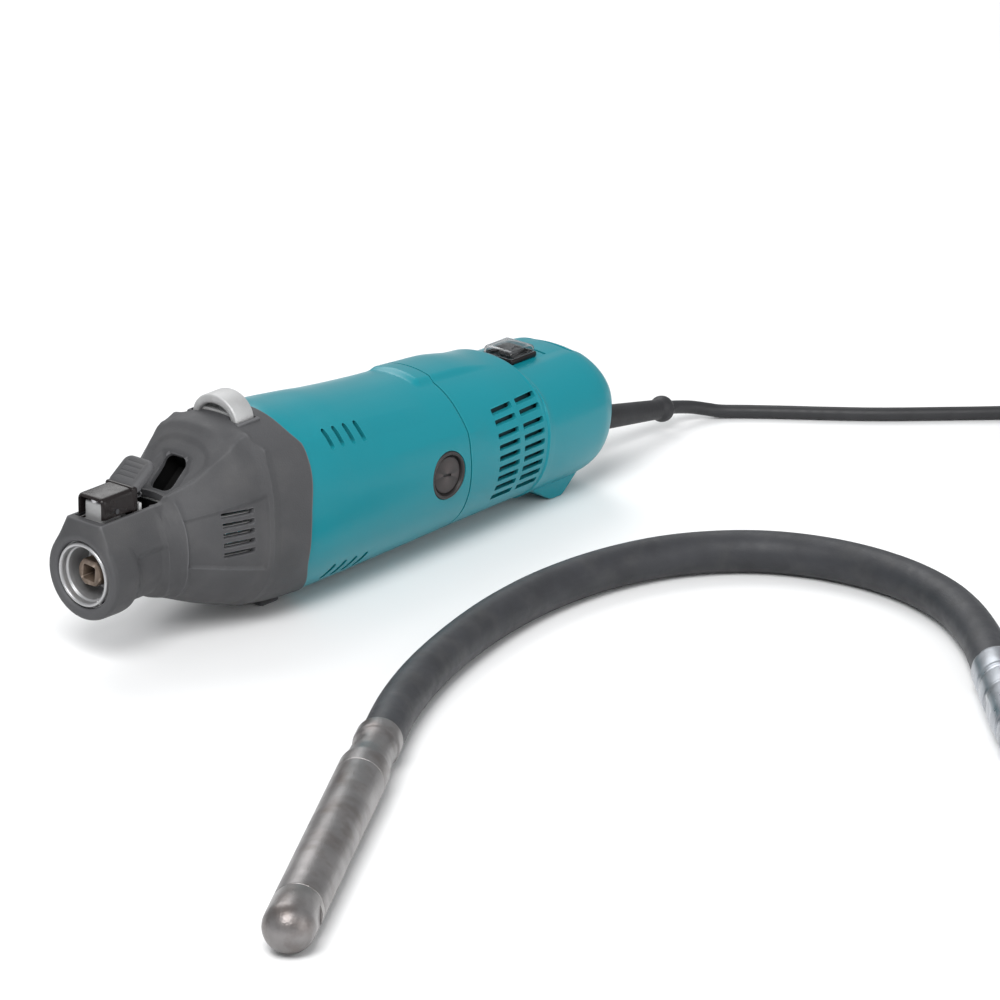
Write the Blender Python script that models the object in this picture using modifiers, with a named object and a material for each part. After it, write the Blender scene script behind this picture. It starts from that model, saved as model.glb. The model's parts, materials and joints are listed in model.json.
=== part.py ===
"""Concrete vibrator: electric drive unit, mains cord and quick-release flexible shaft with poker.

Metres, +Z up. +X runs from the socket at the front to the cord at the rear. The origin is under the middle
of the drive unit, on the surface that it stands on. "Place" means the distance behind the socket face.
"""

import math

import bmesh
import bpy
from mathutils import Matrix, Vector

# Driving dimensions of the drive unit
UNIT_LENGTH = 0.402
AXIS_HEIGHT = 0.053
GAP = 0.0003
RING_POINTS = 28
BOOT_WALL = 0.0037
CAST_WALL = 0.0030
SHELL_WALL = 0.0028
BOOT_END = 0.1335
BOOT_DIP = 0.0155
SEAM = 0.2680
VENT_RISES = (0.0240, 0.0180, 0.0105, 0.0038, -0.0028, -0.0093, -0.0155, -0.0216, -0.0280)

# Nose, socket and drive line
NOSE_OUTER = 0.0210
NOSE_BORE = 0.0188
RING_OUTER = 0.0185
RING_BORE = 0.0145
SHAFT_RADIUS = 0.0060
BRUSH_PLACE = 0.2510

# Quick-release latch
PIVOT_PLACE = 0.0185
PIVOT_RISE = 0.0350
LOCK_PLACE = 0.0125
LUG_HALF_WIDTH = 0.0065
LUG_TOP = 0.0394
LEVER_HALF_WIDTH = 0.0102
LEVER_TOP = 0.0445
PAD_TILT = math.radians(29)
ARM_MIDDLE = (0.0395, 0.0, 0.0460)
SPRING_PLACE = 0.0440

# Hook eye
EYE_PLACE = 0.1135
EYE_BASE = 0.0621
EYE_OUTER = 0.0170
EYE_INNER = 0.0120
EYE_SINK = 0.0020
EYE_HALF_WIDTH = 0.0070
EYE_SCREW_Y = 0.0137

# Switch
SWITCH_PLACE = 0.3560
ROCKER_PIVOT_RISE = 0.0285
ROCKER_REST_TILT = math.radians(-8)
ROCKER_HALF_LENGTH = 0.0080
ROCKER_HALF_WIDTH = 0.0066

# Cord
CORD_RADIUS = 0.0040
GUARD_START = Vector((0.3935, 0.0, -0.0215))
GUARD_DROOP = math.radians(10)
GUARD_LENGTH = 0.1070
COIL_CENTRE = Vector((0.4483, -0.2263))
COIL_INNER = 0.0320
COIL_OUTER = 0.0560
COIL_BASE = 0.0016
COIL_HEIGHT = 0.0240

# Flexible shaft
HOSE_RADIUS = 0.0120
COUPLING_RADIUS = 0.0142
POKER_RADIUS = 0.0140

# Sections of the outer skin: place, half width, top and bottom from the axis, squareness of top and bottom
BOOT_SKIN = (
    (0.0000, 0.0245, 0.0290, 0.0245, 2.3, 2.0),
    (0.0025, 0.0262, 0.0310, 0.0262, 2.4, 2.0),
    (0.0210, 0.0262, 0.0310, 0.0262, 2.4, 2.0),
    (0.0270, 0.0242, 0.0310, 0.0242, 2.6, 2.0),
    (0.0440, 0.0240, 0.0314, 0.0240, 2.6, 2.0),
    (0.0530, 0.0268, 0.0325, 0.0262, 2.5, 2.1),
    (0.0720, 0.0360, 0.0470, 0.0345, 2.4, 2.2),
    (0.0930, 0.0430, 0.0640, 0.0420, 2.5, 2.3),
    (0.1080, 0.0470, 0.0655, 0.0462, 2.4, 2.3),
    (0.1220, 0.0492, 0.0652, 0.0492, 2.3, 2.3),
    (BOOT_END, 0.0512, 0.0645, 0.0506, 2.2, 2.2),
)
MOTOR_SKIN = (
    (BOOT_END + GAP, 0.0498, 0.0630, 0.0490, 2.2, 2.2),
    (0.1550, 0.0508, 0.0607, 0.0500, 2.2, 2.2),
    (0.1750, 0.0505, 0.0585, 0.0500, 2.1, 2.2),
    (0.2000, 0.0500, 0.0545, 0.0497, 2.1, 2.2),
    (0.2320, 0.0493, 0.0505, 0.0494, 2.1, 2.2),
    (SEAM, 0.0485, 0.0475, 0.0488, 2.1, 2.2),
)
REAR_SKIN = (
    (SEAM + GAP, 0.0485, 0.0475, 0.0488, 2.1, 2.2),
    (0.3000, 0.0480, 0.0445, 0.0486, 2.1, 2.2),
    (0.3330, 0.0473, 0.0403, 0.0485, 2.1, 2.2),
    (0.3410, 0.0464, 0.0322, 0.0484, 2.2, 2.2),
    (0.3750, 0.0450, 0.0318, 0.0478, 2.2, 2.2),
    (0.3930, 0.0435, 0.0300, 0.0460, 2.2, 2.2),
    (UNIT_LENGTH, 0.0385, 0.0250, 0.0400, 2.2, 2.2),
)

# The cord's route from its guard to the coil, and from the coil to the plug
CORD_ROUTE = (
    (0.3170, -0.0030, 0.0090),
    (0.3260, -0.0078, 0.0064),
    (0.3330, -0.0130, 0.0045),
    (0.3440, -0.0250, 0.0041),
    (0.3580, -0.0430, 0.0041),
    (0.3730, -0.0630, 0.0041),
    (0.3930, -0.0880, 0.0041),
    (0.4180, -0.1150, 0.0041),
    (0.4420, -0.1400, 0.0041),
    (0.4650, -0.1620, 0.0041),
    (0.4830, -0.1770, 0.0041),
)
TAIL_ROUTE = (
    (0.4957, -0.2640, 0.0041),
    (0.4860, -0.2810, 0.0048),
    (0.4760, -0.2945, 0.0100),
    (0.4670, -0.3057, 0.0136),
    (0.4607, -0.3132, 0.0137),
)
PLUG_START = Vector((0.4605, -0.3134, 0.0137))
PLUG_HEADING = math.radians(-130.0)

# The hose's route on the floor, from the coupling end to the poker end
HOSE_ROUTE = (
    (0.0980, -0.4010, 0.0122),
    (0.1340, -0.3620, 0.0122),
    (0.1610, -0.3210, 0.0122),
    (0.1740, -0.2750, 0.0122),
    (0.1710, -0.2290, 0.0122),
    (0.1530, -0.1890, 0.0122),
    (0.1200, -0.1590, 0.0122),
    (0.0790, -0.1430, 0.0122),
    (0.0330, -0.1380, 0.0122),
    (-0.0140, -0.1420, 0.0122),
    (-0.0620, -0.1530, 0.0122),
    (-0.1090, -0.1690, 0.0122),
    (-0.1540, -0.1900, 0.0122),
    (-0.1960, -0.2150, 0.0122),
)
HOSE_STEP = 0.0300


# Helpers

def clear_scene():
    for item in list(bpy.data.objects):
        bpy.data.objects.remove(item, do_unlink=True)


def new_collection(name):
    collection = bpy.data.collections.new(name)
    bpy.context.scene.collection.children.link(collection)
    return collection


def material(name, colour, roughness, metallic=0.0, alpha=1.0):
    found = bpy.data.materials.new(name)
    found.use_nodes = True
    shader = found.node_tree.nodes["Principled BSDF"]
    shader.inputs["Base Color"].default_value = (*colour, 1.0)
    shader.inputs["Roughness"].default_value = roughness
    shader.inputs["Metallic"].default_value = metallic
    shader.inputs["Alpha"].default_value = alpha
    return found


def at(place, y=0.0, rise=0.0):
    """World position from the distance behind the socket face and the height above the axis."""
    return Vector((place - UNIT_LENGTH / 2, y, AXIS_HEIGHT + rise))


def mesh_object(name, form, finish, centre=Vector((0, 0, 0)), turn=Matrix.Identity(4)):
    """Make an object from a bmesh whose points are relative to its centre."""
    bmesh.ops.recalc_face_normals(form, faces=form.faces)
    mesh = bpy.data.meshes.new(name)
    form.to_mesh(mesh)
    form.free()
    made = bpy.data.objects.new(name, mesh)
    made.matrix_world = Matrix.Translation(centre) @ turn
    if finish is None:
        cutters.objects.link(made)
        made.hide_render = True
        made.display_type = "WIRE"
    else:
        parts.objects.link(made)
        made.data.materials.append(finish)
    return made


def box(name, low, high, finish=None, turn=Matrix.Identity(4)):
    """A box between two corners; its origin is its centre."""
    low, high = Vector(low), Vector(high)
    form = bmesh.new()
    bmesh.ops.create_cube(form, size=1.0)
    bmesh.ops.scale(form, vec=high - low, verts=form.verts)
    return mesh_object(name, form, finish, (low + high) / 2, turn)


def rod(name, start, end, radius, finish=None, sides=24):
    """A cylinder between two points."""
    start, end = Vector(start), Vector(end)
    way = end - start
    form = bmesh.new()
    bmesh.ops.create_cone(form, cap_ends=True, segments=sides, radius1=radius, radius2=radius, depth=way.length)
    return mesh_object(name, form, finish, (start + end) / 2, way.to_track_quat("Z", "Y").to_matrix().to_4x4())


def turned(name, profile, start, direction, finish, sides=24, solid=False):
    """Turn a profile of (distance along, radius) points about the line from start along direction.

    The profile runs from the far end to the near end on the outside. A solid piece starts and ends on the
    line; any other profile closes on itself.
    """
    mesh = bpy.data.meshes.new(name)
    points = [(radius, 0.0, along) for along, radius in profile]
    last = len(points) - 1
    edges = [(index, index + 1) for index in range(last)]
    if not solid:
        edges.append((last, 0))
    mesh.from_pydata(points, edges, [])
    made = bpy.data.objects.new(name, mesh)
    made.matrix_world = Matrix.Translation(start) @ Vector(direction).to_track_quat("Z", "Y").to_matrix().to_4x4()
    parts.objects.link(made)
    screw = made.modifiers.new("Turn", "SCREW")
    screw.steps = sides
    screw.render_steps = sides
    screw.use_merge_vertices = True
    screw.merge_threshold = 0.00001
    screw.use_smooth_shade = True
    mesh.materials.append(finish)
    return made


def section(place, half_width, top, bottom, square_top, square_bottom, inset=0.0):
    """The points of one closed cross-section of the skin, moved in by the inset.

    The section where the boot ends bends back at the bottom.
    """
    dip = BOOT_DIP if BOOT_END <= place <= BOOT_END + GAP else 0.0
    points = []
    for step in range(RING_POINTS):
        angle = 2 * math.pi * step / RING_POINTS
        side, rise = math.cos(angle), math.sin(angle)
        height, square = (top, square_top) if rise >= 0 else (bottom, square_bottom)
        y = math.copysign(abs(side) ** (2 / square), side) * (half_width - inset)
        z = math.copysign(abs(rise) ** (2 / square), rise) * (height - inset)
        points.append(at(place + dip * min(rise, 0.0) ** 2, y, z))
    return points


def round_section(place, radius):
    return section(place, radius, radius, radius, 2.0, 2.0)


def loft(name, rings, finish, closed):
    """Skin a list of rings; a closed loft joins its last ring to its first, any other is capped."""
    form = bmesh.new()
    rows = [[form.verts.new(point) for point in ring] for ring in rings]
    count = len(rows[0])
    pairs = list(zip(rows, rows[1:]))
    if closed:
        pairs.append((rows[-1], rows[0]))
    else:
        form.faces.new(rows[0])
        form.faces.new(rows[-1])
    for first, second in pairs:
        for step in range(count):
            after = (step + 1) % count
            form.faces.new((first[step], first[after], second[after], second[step]))
    bmesh.ops.triangulate(form, faces=form.faces)
    made = mesh_object(name, form, finish)
    for face in made.data.polygons:
        face.use_smooth = True
    return made


def boolean(target, tool, operation):
    cut = target.modifiers.new(operation.title(), "BOOLEAN")
    cut.operation = operation
    cut.solver = "EXACT"
    cut.object = tool
    if tool.name not in cutters.objects:
        for home in list(tool.users_collection):
            home.objects.unlink(tool)
        cutters.objects.link(tool)
        tool.hide_render = True
        tool.display_type = "WIRE"


def cut_away(target, *tools):
    for tool in tools:
        boolean(target, tool, "DIFFERENCE")


def join_to(target, *tools):
    for tool in tools:
        boolean(target, tool, "UNION")


def bevel(target, width, segments=2):
    rounding = target.modifiers.new("Rounding", "BEVEL")
    rounding.width = width
    rounding.segments = segments
    rounding.limit_method = "ANGLE"
    rounding.angle_limit = math.radians(40)


def smooth_points(route, step):
    """Points about one step apart on a smooth curve through the route's own points."""
    route = [Vector(point) for point in route]
    padded = [route[0] * 2 - route[1]] + route + [route[-1] * 2 - route[-2]]
    fine = []
    for index in range(len(route) - 1):
        before, start, end, after = padded[index:index + 4]
        for part in range(20):
            t = part / 20
            fine.append(0.5 * (2 * start + (end - before) * t + (2 * before - 5 * start + 4 * end - after) * t * t
                               + (3 * start - before - 3 * end + after) * t ** 3))
    fine.append(route[-1])
    lengths = [0.0]
    for first, second in zip(fine, fine[1:]):
        lengths.append(lengths[-1] + (second - first).length)
    count = max(2, round(lengths[-1] / step))
    chosen = []
    index = 0
    for number in range(count):
        goal = lengths[-1] * number / count
        while lengths[index + 1] < goal:
            index += 1
        share = (goal - lengths[index]) / (lengths[index + 1] - lengths[index])
        chosen.append(fine[index].lerp(fine[index + 1], share))
    chosen.append(fine[-1])
    return chosen


def tube(name, points, radius, finish, resolution=2):
    curve = bpy.data.curves.new(name, "CURVE")
    curve.dimensions = "3D"
    curve.bevel_depth = radius
    curve.bevel_resolution = resolution
    curve.use_fill_caps = True
    spline = curve.splines.new("POLY")
    spline.points.add(len(points) - 1)
    for point, place in zip(spline.points, points):
        point.co = (*place, 1.0)
    made = bpy.data.objects.new(name, curve)
    curve.materials.append(finish)
    parts.objects.link(made)
    return made


def pivot(name, place):
    """An empty on a joint's axis, which its pieces are parented to."""
    made = bpy.data.objects.new(name, None)
    made.location = place
    made.empty_display_size = 0.02
    parts.objects.link(made)
    bpy.context.view_layer.update()
    return made


def hang_on(parent, *pieces):
    """Parent pieces without moving them."""
    for piece in pieces:
        piece.parent = parent
        piece.matrix_parent_inverse = parent.matrix_world.inverted()


# Housings

def side_slots(name, places, rises, length, height, lean):
    """One cutter with a slot through both flanks at each place and rise."""
    form = bmesh.new()
    for place, rise in zip(places, rises):
        for side in (-1, 1):
            slot = bmesh.ops.create_cube(form, size=1.0)["verts"]
            bmesh.ops.scale(form, vec=(length, 0.040, height), verts=slot)
            bmesh.ops.rotate(form, matrix=Matrix.Rotation(lean, 3, "Y"), verts=slot)
            bmesh.ops.translate(form, vec=at(place, side * 0.046, rise), verts=slot)
    return mesh_object(name, form, None)


def build_boot():
    outer = [section(*row) for row in BOOT_SKIN]
    flare = [section(*row, inset=BOOT_WALL) for row in BOOT_SKIN[5:]]
    lip = [round_section(0.0, NOSE_BORE + 0.0012)]
    nose = [round_section(0.0026, NOSE_BORE + GAP), round_section(0.0034, NOSE_BORE + GAP),
            round_section(0.0034, NOSE_OUTER + GAP), round_section(0.0460, NOSE_OUTER + GAP)]
    boot = loft("rubber_boot", outer[::-1] + lip + nose + flare, grey_rubber, True)
    foot = box("boot_foot", at(0.1225, -0.0150, -0.0530), at(0.1385, 0.0150, -0.0475))
    join_to(boot, foot)
    lug_hole = box("lug_hole", at(0.0095, -LUG_HALF_WIDTH - GAP, 0.0190),
                   at(0.0383, LUG_HALF_WIDTH + GAP, 0.0360))
    lever_pocket = box("lever_pocket", at(0.0064, -0.0108, 0.0272), at(0.0330, 0.0108, 0.0400))
    eye_hole = box("eye_hole", at(EYE_PLACE - 0.0084, -0.0188, 0.0480), at(EYE_PLACE + 0.0084, 0.0188, 0.0800))
    vents = side_slots("boot_vents", [0.0830] * 5, [0.0215 - 0.0057 * row for row in range(5)],
                       0.0190, 0.0030, 0.0)
    cut_away(boot, lug_hole, lever_pocket, eye_hole, vents)


def build_front_housing():
    flare = [section(*row, inset=BOOT_WALL + GAP) for row in BOOT_SKIN[5:]]
    hollow = [section(*row, inset=BOOT_WALL + GAP + CAST_WALL) for row in BOOT_SKIN[5:]]
    outer = [round_section(0.0037, NOSE_OUTER), round_section(0.0460, NOSE_OUTER)] + flare
    inner = [round_section(0.0037, NOSE_BORE), round_section(0.0520, NOSE_BORE)] + hollow
    casting = loft("front_housing", outer + inner[::-1], cast_aluminium, True)
    lug = box("lug", at(0.0098, -LUG_HALF_WIDTH, 0.0196), at(0.0262, LUG_HALF_WIDTH, LUG_TOP))
    lug_tail = box("lug_tail", at(0.0200, -LUG_HALF_WIDTH + 0.0002, 0.0195),
                   at(0.0380, LUG_HALF_WIDTH - 0.0002, 0.0346))
    boss = box("eye_boss", at(EYE_PLACE - 0.0081, -0.0185, 0.0530), at(EYE_PLACE + 0.0081, 0.0185, EYE_BASE - GAP))
    join_to(casting, lug, lug_tail, boss)
    pin_hole = rod("lock_pin_hole", at(LOCK_PLACE, 0, 0.0120), at(LOCK_PLACE, 0, 0.0500), 0.0020, sides=16)
    pivot_hole = rod("pivot_hole", at(PIVOT_PLACE, -0.02, PIVOT_RISE), at(PIVOT_PLACE, 0.02, PIVOT_RISE), 0.0018,
                     sides=16)
    cut_away(casting, pin_hole, pivot_hole)
    for side in (-1, 1):
        screw_hole = rod("eye_screw_hole", at(EYE_PLACE, side * EYE_SCREW_Y, 0.0400),
                         at(EYE_PLACE, side * EYE_SCREW_Y, 0.0700), 0.0016, sides=12)
        cut_away(casting, screw_hole)
    windows = side_slots("casting_windows", [0.0830] * 2, [0.0190, 0.0010], 0.0170, 0.0070, 0.0)
    cut_away(casting, windows)


def build_motor_housing():
    outer = [section(*row) for row in MOTOR_SKIN]
    inner = [section(*row, inset=SHELL_WALL) for row in MOTOR_SKIN]
    shell = loft("motor_housing", outer + inner[::-1], teal_plastic, True)
    caps = rod("brush_cap_holes", at(BRUSH_PLACE, -0.060), at(BRUSH_PLACE, 0.060), 0.0143, sides=28)
    upper = side_slots("upper_vents", [0.1600 + 0.0091 * row for row in range(4)],
                       [0.0440 - 0.0010 * row for row in range(4)], 0.0030, 0.0105, math.radians(-8))
    lower = side_slots("lower_vents", [0.1560 + 0.0093 * row for row in range(4)],
                       [-0.0330 - 0.0004 * row for row in range(4)], 0.0030, 0.0110, math.radians(28))
    cut_away(shell, caps, upper, lower)


def build_rear_cover():
    outer = [section(*row) for row in REAR_SKIN]
    inner = [section(*row, inset=SHELL_WALL) for row in REAR_SKIN[:-1]]
    inner.append(section(UNIT_LENGTH - SHELL_WALL, *REAR_SKIN[-1][1:], inset=SHELL_WALL))
    cover = loft("rear_cover", outer[::-1] + inner, teal_plastic, False)
    for side in (-1, 1):
        low, high = sorted((side * 0.0120, side * 0.0260))
        foot = box("rear_foot", at(0.3560, low, -0.0530), at(0.3780, high, -0.0385))
        join_to(cover, foot)
    front_column = side_slots("front_vents", [0.3025] * 9, VENT_RISES, 0.0165, 0.0034, 0.0)
    rear_column = side_slots("rear_vents", [0.3240] * 9, VENT_RISES, 0.0170, 0.0034, 0.0)
    switch_hole = box("switch_hole", at(SWITCH_PLACE - 0.0107, -0.0099, 0.0200),
                      at(SWITCH_PLACE + 0.0107, 0.0099, 0.0400))
    exit_hole = rod("cord_hole", at(0.3970, 0, -0.0228), at(0.4100, 0, -0.0228), 0.0083)
    cut_away(cover, front_column, rear_column, switch_hole, exit_hole)
    for number, (y, rise) in enumerate(COVER_SCREWS, 1):
        hole = rod("cover_screw_hole", at(0.3960, y, rise), at(0.4100, y, rise), 0.0042, sides=16)
        cut_away(cover, hole)
        turned("cover_screw_%d" % number,
               [(0.0700, 0.0), (0.0700, 0.0038), (0.0665, 0.0038), (0.0665, 0.0022), (0.0, 0.0022), (0.0, 0.0)],
               at(0.3310, y, rise), (1, 0, 0), steel, 12, True)


COVER_SCREWS = ((-0.0260, 0.0120), (0.0260, 0.0120), (-0.0260, -0.0280), (0.0260, -0.0280))


# Socket and drive line

def build_socket():
    ring = turned("socket_ring",
                  [(0.0320, RING_OUTER), (0.0008, RING_OUTER), (0.0, RING_OUTER - 0.0008),
                   (0.0, RING_BORE + 0.0020), (0.0020, RING_BORE), (0.0200, RING_BORE), (0.0200, 0.0100),
                   (0.0320, 0.0100)],
                  at(0.0005), (1, 0, 0), bright_aluminium)
    pin_hole = rod("ring_pin_hole", at(LOCK_PLACE, 0, 0.0100), at(LOCK_PLACE, 0, 0.0250), 0.0020, sides=16)
    cut_away(ring, pin_hole)
    turned("shaft_seal", [(0.0050, 0.0185), (0.0, 0.0185), (0.0, SHAFT_RADIUS + GAP), (0.0050, SHAFT_RADIUS + GAP)],
           at(0.0330), (1, 0, 0), black_rubber)
    turned("front_bearing", [(0.0120, 0.0185), (0.0, 0.0185), (0.0, SHAFT_RADIUS + GAP),
                             (0.0120, SHAFT_RADIUS + GAP)], at(0.0390), (1, 0, 0), steel)
    drive = turned("drive_socket", [(0.0180, 0.0), (0.0180, 0.0085), (0.0008, 0.0085), (0.0, 0.0077), (0.0, 0.0)],
                   at(0.0130), (1, 0, 0), brown_steel, 24, True)
    square = box("drive_square", at(0.0100, -0.0045, -0.0045), at(0.0250, 0.0045, 0.0045))
    cut_away(drive, square)


def build_motor():
    turned("armature_shaft", [(0.2520, 0.0), (0.2520, SHAFT_RADIUS - 0.0010), (0.0010, SHAFT_RADIUS),
                              (0.0, SHAFT_RADIUS - 0.0010), (0.0, 0.0)],
           at(0.0313), (1, 0, 0), steel, 24, True)
    core_start = at(0.1900)
    turned("armature_core", [(0.0450, 0.0265), (0.0, 0.0265), (0.0, SHAFT_RADIUS + GAP),
                             (0.0450, SHAFT_RADIUS + GAP)], core_start, (1, 0, 0), steel, 24)
    turned("commutator", [(0.0180, 0.0150), (0.0, 0.0150), (0.0, SHAFT_RADIUS + GAP), (0.0180, SHAFT_RADIUS + GAP)],
           at(0.2420), (1, 0, 0), copper, 24)
    turned("cooling_fan", [(0.0140, 0.0130), (0.0100, 0.0400), (0.0, 0.0400), (0.0, SHAFT_RADIUS + GAP),
                           (0.0140, SHAFT_RADIUS + GAP)], at(0.1640), (1, 0, 0), white_plastic, 24)
    turned("fan_baffle", [(0.0020, 0.0445), (0.0, 0.0445), (0.0, 0.0300), (0.0020, 0.0300)], at(0.1805),
           (1, 0, 0), black_plastic)
    turned("stator_core", [(0.0450, 0.0435), (0.0, 0.0435), (0.0, 0.0330), (0.0450, 0.0330)], core_start,
           (1, 0, 0), steel)
    for name, sign in (("field_coil_upper", 1), ("field_coil_lower", -1)):
        half = [(math.radians(sign * angle), radius) for radius in (0.0272, 0.0326)
                for angle in range(12, 169, 26)[::1 if radius < 0.03 else -1]]
        form = bmesh.new()
        ends = [[form.verts.new(at(place, radius * math.cos(angle), radius * math.sin(angle)))
                 for angle, radius in half] for place in (0.1860, 0.2390)]
        form.faces.new(ends[0])
        form.faces.new(ends[1])
        for step in range(len(half)):
            after = (step + 1) % len(half)
            form.faces.new((ends[0][step], ends[0][after], ends[1][after], ends[1][step]))
        mesh_object(name, form, copper)
    turned("bearing_bracket", [(0.0080, 0.0160), (0.0040, 0.0440), (0.0, 0.0440), (0.0, 0.0113), (0.0080, 0.0113)],
           at(0.2720), (1, 0, 0), cast_aluminium)
    turned("rear_bearing", [(0.0080, 0.0110), (0.0, 0.0110), (0.0, SHAFT_RADIUS + GAP), (0.0080, SHAFT_RADIUS + GAP)],
           at(0.2720), (1, 0, 0), steel, 24)


def build_brushes():
    for word, side in (("left", -1), ("right", 1)):
        outward = (0, side, 0)
        holder = box("brush_holder_" + word, at(BRUSH_PLACE - 0.0060, -0.0118, -0.0050),
                     at(BRUSH_PLACE + 0.0060, 0.0118, 0.0050), brass)
        holder.location.y = side * 0.0290
        bore = box("brush_bore_" + word, at(BRUSH_PLACE - 0.0045, -0.0300, -0.0035),
                   at(BRUSH_PLACE + 0.0045, 0.0300, 0.0035))
        bore.location.y = side * 0.0290
        cut_away(holder, bore)
        carbon = box("carbon_brush_" + word, at(BRUSH_PLACE - 0.0042, -0.0085, -0.0032),
                     at(BRUSH_PLACE + 0.0042, 0.0085, 0.0032), black_plastic)
        carbon.location.y = side * 0.0240
        turned("brush_cap_" + word,
               [(0.0060, 0.0), (0.0060, 0.0105), (0.0068, 0.0110), (0.0072, 0.0120), (0.0068, 0.0135),
                (0.0055, 0.0140), (0.0, 0.0140), (0.0, 0.0)],
               Vector((at(BRUSH_PLACE).x, side * 0.0412, AXIS_HEIGHT)), outward, black_plastic, 32, True)


# Latch, hook eye and switch

def build_latch():
    lever_pivot = pivot("latch_axis", at(PIVOT_PLACE, 0, PIVOT_RISE))
    lock_slide = pivot("lock_axis", at(LOCK_PLACE, 0, 0.0133))
    channel = box("latch_lever", at(0.0070, -LEVER_HALF_WIDTH, 0.0315), at(0.0310, LEVER_HALF_WIDTH, LEVER_TOP),
                  black_plastic)
    bevel(channel, 0.0020, 2)
    hollow = box("latch_hollow", at(0.0040, -0.0082, 0.0280), at(0.0330, 0.0082, LEVER_TOP - 0.0022))
    bridge = box("latch_bridge", at(0.0290, -0.0078, 0.0402), at(0.0345, 0.0078, LEVER_TOP - 0.0004))
    arm = box("latch_arm", (-0.0104, -0.0080, -0.0011), (0.0104, 0.0080, 0.0011),
              turn=Matrix.Rotation(-PAD_TILT, 4, "Y"))
    arm.location = at(*ARM_MIDDLE)
    pivot_hole = rod("lever_hole", at(PIVOT_PLACE, -0.02, PIVOT_RISE), at(PIVOT_PLACE, 0.02, PIVOT_RISE), 0.0018,
                     sides=16)
    cut_away(channel, hollow)
    join_to(channel, bridge, arm)
    cut_away(channel, pivot_hole)
    pad = box("thumb_pad", (-0.0095, -0.0105, -0.0031), (0.0095, 0.0105, 0.0031), grey_rubber,
              Matrix.Rotation(-PAD_TILT, 4, "Y"))
    pad.location = at(*ARM_MIDDLE) + Matrix.Rotation(-PAD_TILT, 3, "Y") @ Vector((0.0020, 0, 0.0045))
    bevel(pad, 0.0015, 2)
    rod("latch_pin", at(PIVOT_PLACE, -0.0105, PIVOT_RISE), at(PIVOT_PLACE, 0.0105, PIVOT_RISE), 0.0015, steel, 16)
    lock = turned("lock_pin", [(0.0283, 0.0), (0.0283, 0.0026), (0.0266, 0.0026), (0.0266, 0.0017),
                               (0.0010, 0.0017), (0.0, 0.0009), (0.0, 0.0)],
                  at(LOCK_PLACE, 0, 0.0133), (0, 0, 1), steel, 16, True)
    turns, steps, low, high = 4, 8, 0.0328, 0.0445
    helix = []
    for step in range(turns * steps + 1):
        angle = 2 * math.pi * step / steps
        rise = low + (high - low) * step / (turns * steps)
        helix.append(at(SPRING_PLACE + 0.0030 * math.cos(angle), 0.0030 * math.sin(angle), rise))
    tube("latch_spring", helix, 0.0005, steel, 1)
    hang_on(lock_slide, lock)
    hang_on(lever_pivot, channel, pad)


def build_hook_eye():
    curve = bpy.data.curves.new("hook_eye_outline", "CURVE")
    curve.dimensions = "2D"
    curve.fill_mode = "BOTH"
    curve.extrude = EYE_HALF_WIDTH
    outline = []
    for radius, steps in ((EYE_OUTER, range(0, 11)), (EYE_INNER, range(10, -1, -1))):
        low = math.asin(EYE_SINK / radius)
        for step in steps:
            angle = low + (math.pi - 2 * low) * step / 10
            outline.append((radius * math.cos(angle), radius * math.sin(angle) - EYE_SINK))
    spline = curve.splines.new("POLY")
    spline.points.add(len(outline) - 1)
    for point, (y, rise) in zip(spline.points, outline):
        point.co = (y, rise, 0.0, 1.0)
    spline.use_cyclic_u = True
    drawn = bpy.data.objects.new("hook_eye_outline", curve)
    drawn.matrix_world = Matrix.Translation(at(EYE_PLACE, 0, EYE_BASE)) @ Matrix(
        ((0, 0, 1, 0), (1, 0, 0, 0), (0, 1, 0, 0), (0, 0, 0, 1)))
    parts.objects.link(drawn)
    bpy.context.view_layer.update()
    mesh = bpy.data.meshes.new_from_object(drawn.evaluated_get(bpy.context.evaluated_depsgraph_get()))
    eye = bpy.data.objects.new("hook_eye", mesh)
    eye.matrix_world = drawn.matrix_world
    form = bmesh.new()
    form.from_mesh(mesh)
    bmesh.ops.remove_doubles(form, verts=form.verts, dist=0.00001)
    bmesh.ops.recalc_face_normals(form, faces=form.faces)
    form.to_mesh(mesh)
    form.free()
    mesh.materials.clear()
    mesh.materials.append(bright_aluminium)
    bpy.data.objects.remove(drawn)
    parts.objects.link(eye)
    for word, side in (("left", -1), ("right", 1)):
        hole = rod("eye_foot_hole_" + word, at(EYE_PLACE, side * EYE_SCREW_Y, 0.0500),
                   at(EYE_PLACE, side * EYE_SCREW_Y, EYE_BASE + 0.0044), 0.0014, sides=12)
        cut_away(eye, hole)
        turned("hook_screw_" + word,
               [(0.0152, 0.0), (0.0152, 0.0011), (0.0020, 0.0011), (0.0020, 0.0025), (0.0, 0.0025), (0.0, 0.0)],
               at(EYE_PLACE, side * EYE_SCREW_Y, 0.0507), (0, 0, 1), steel, 12, True)


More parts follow.
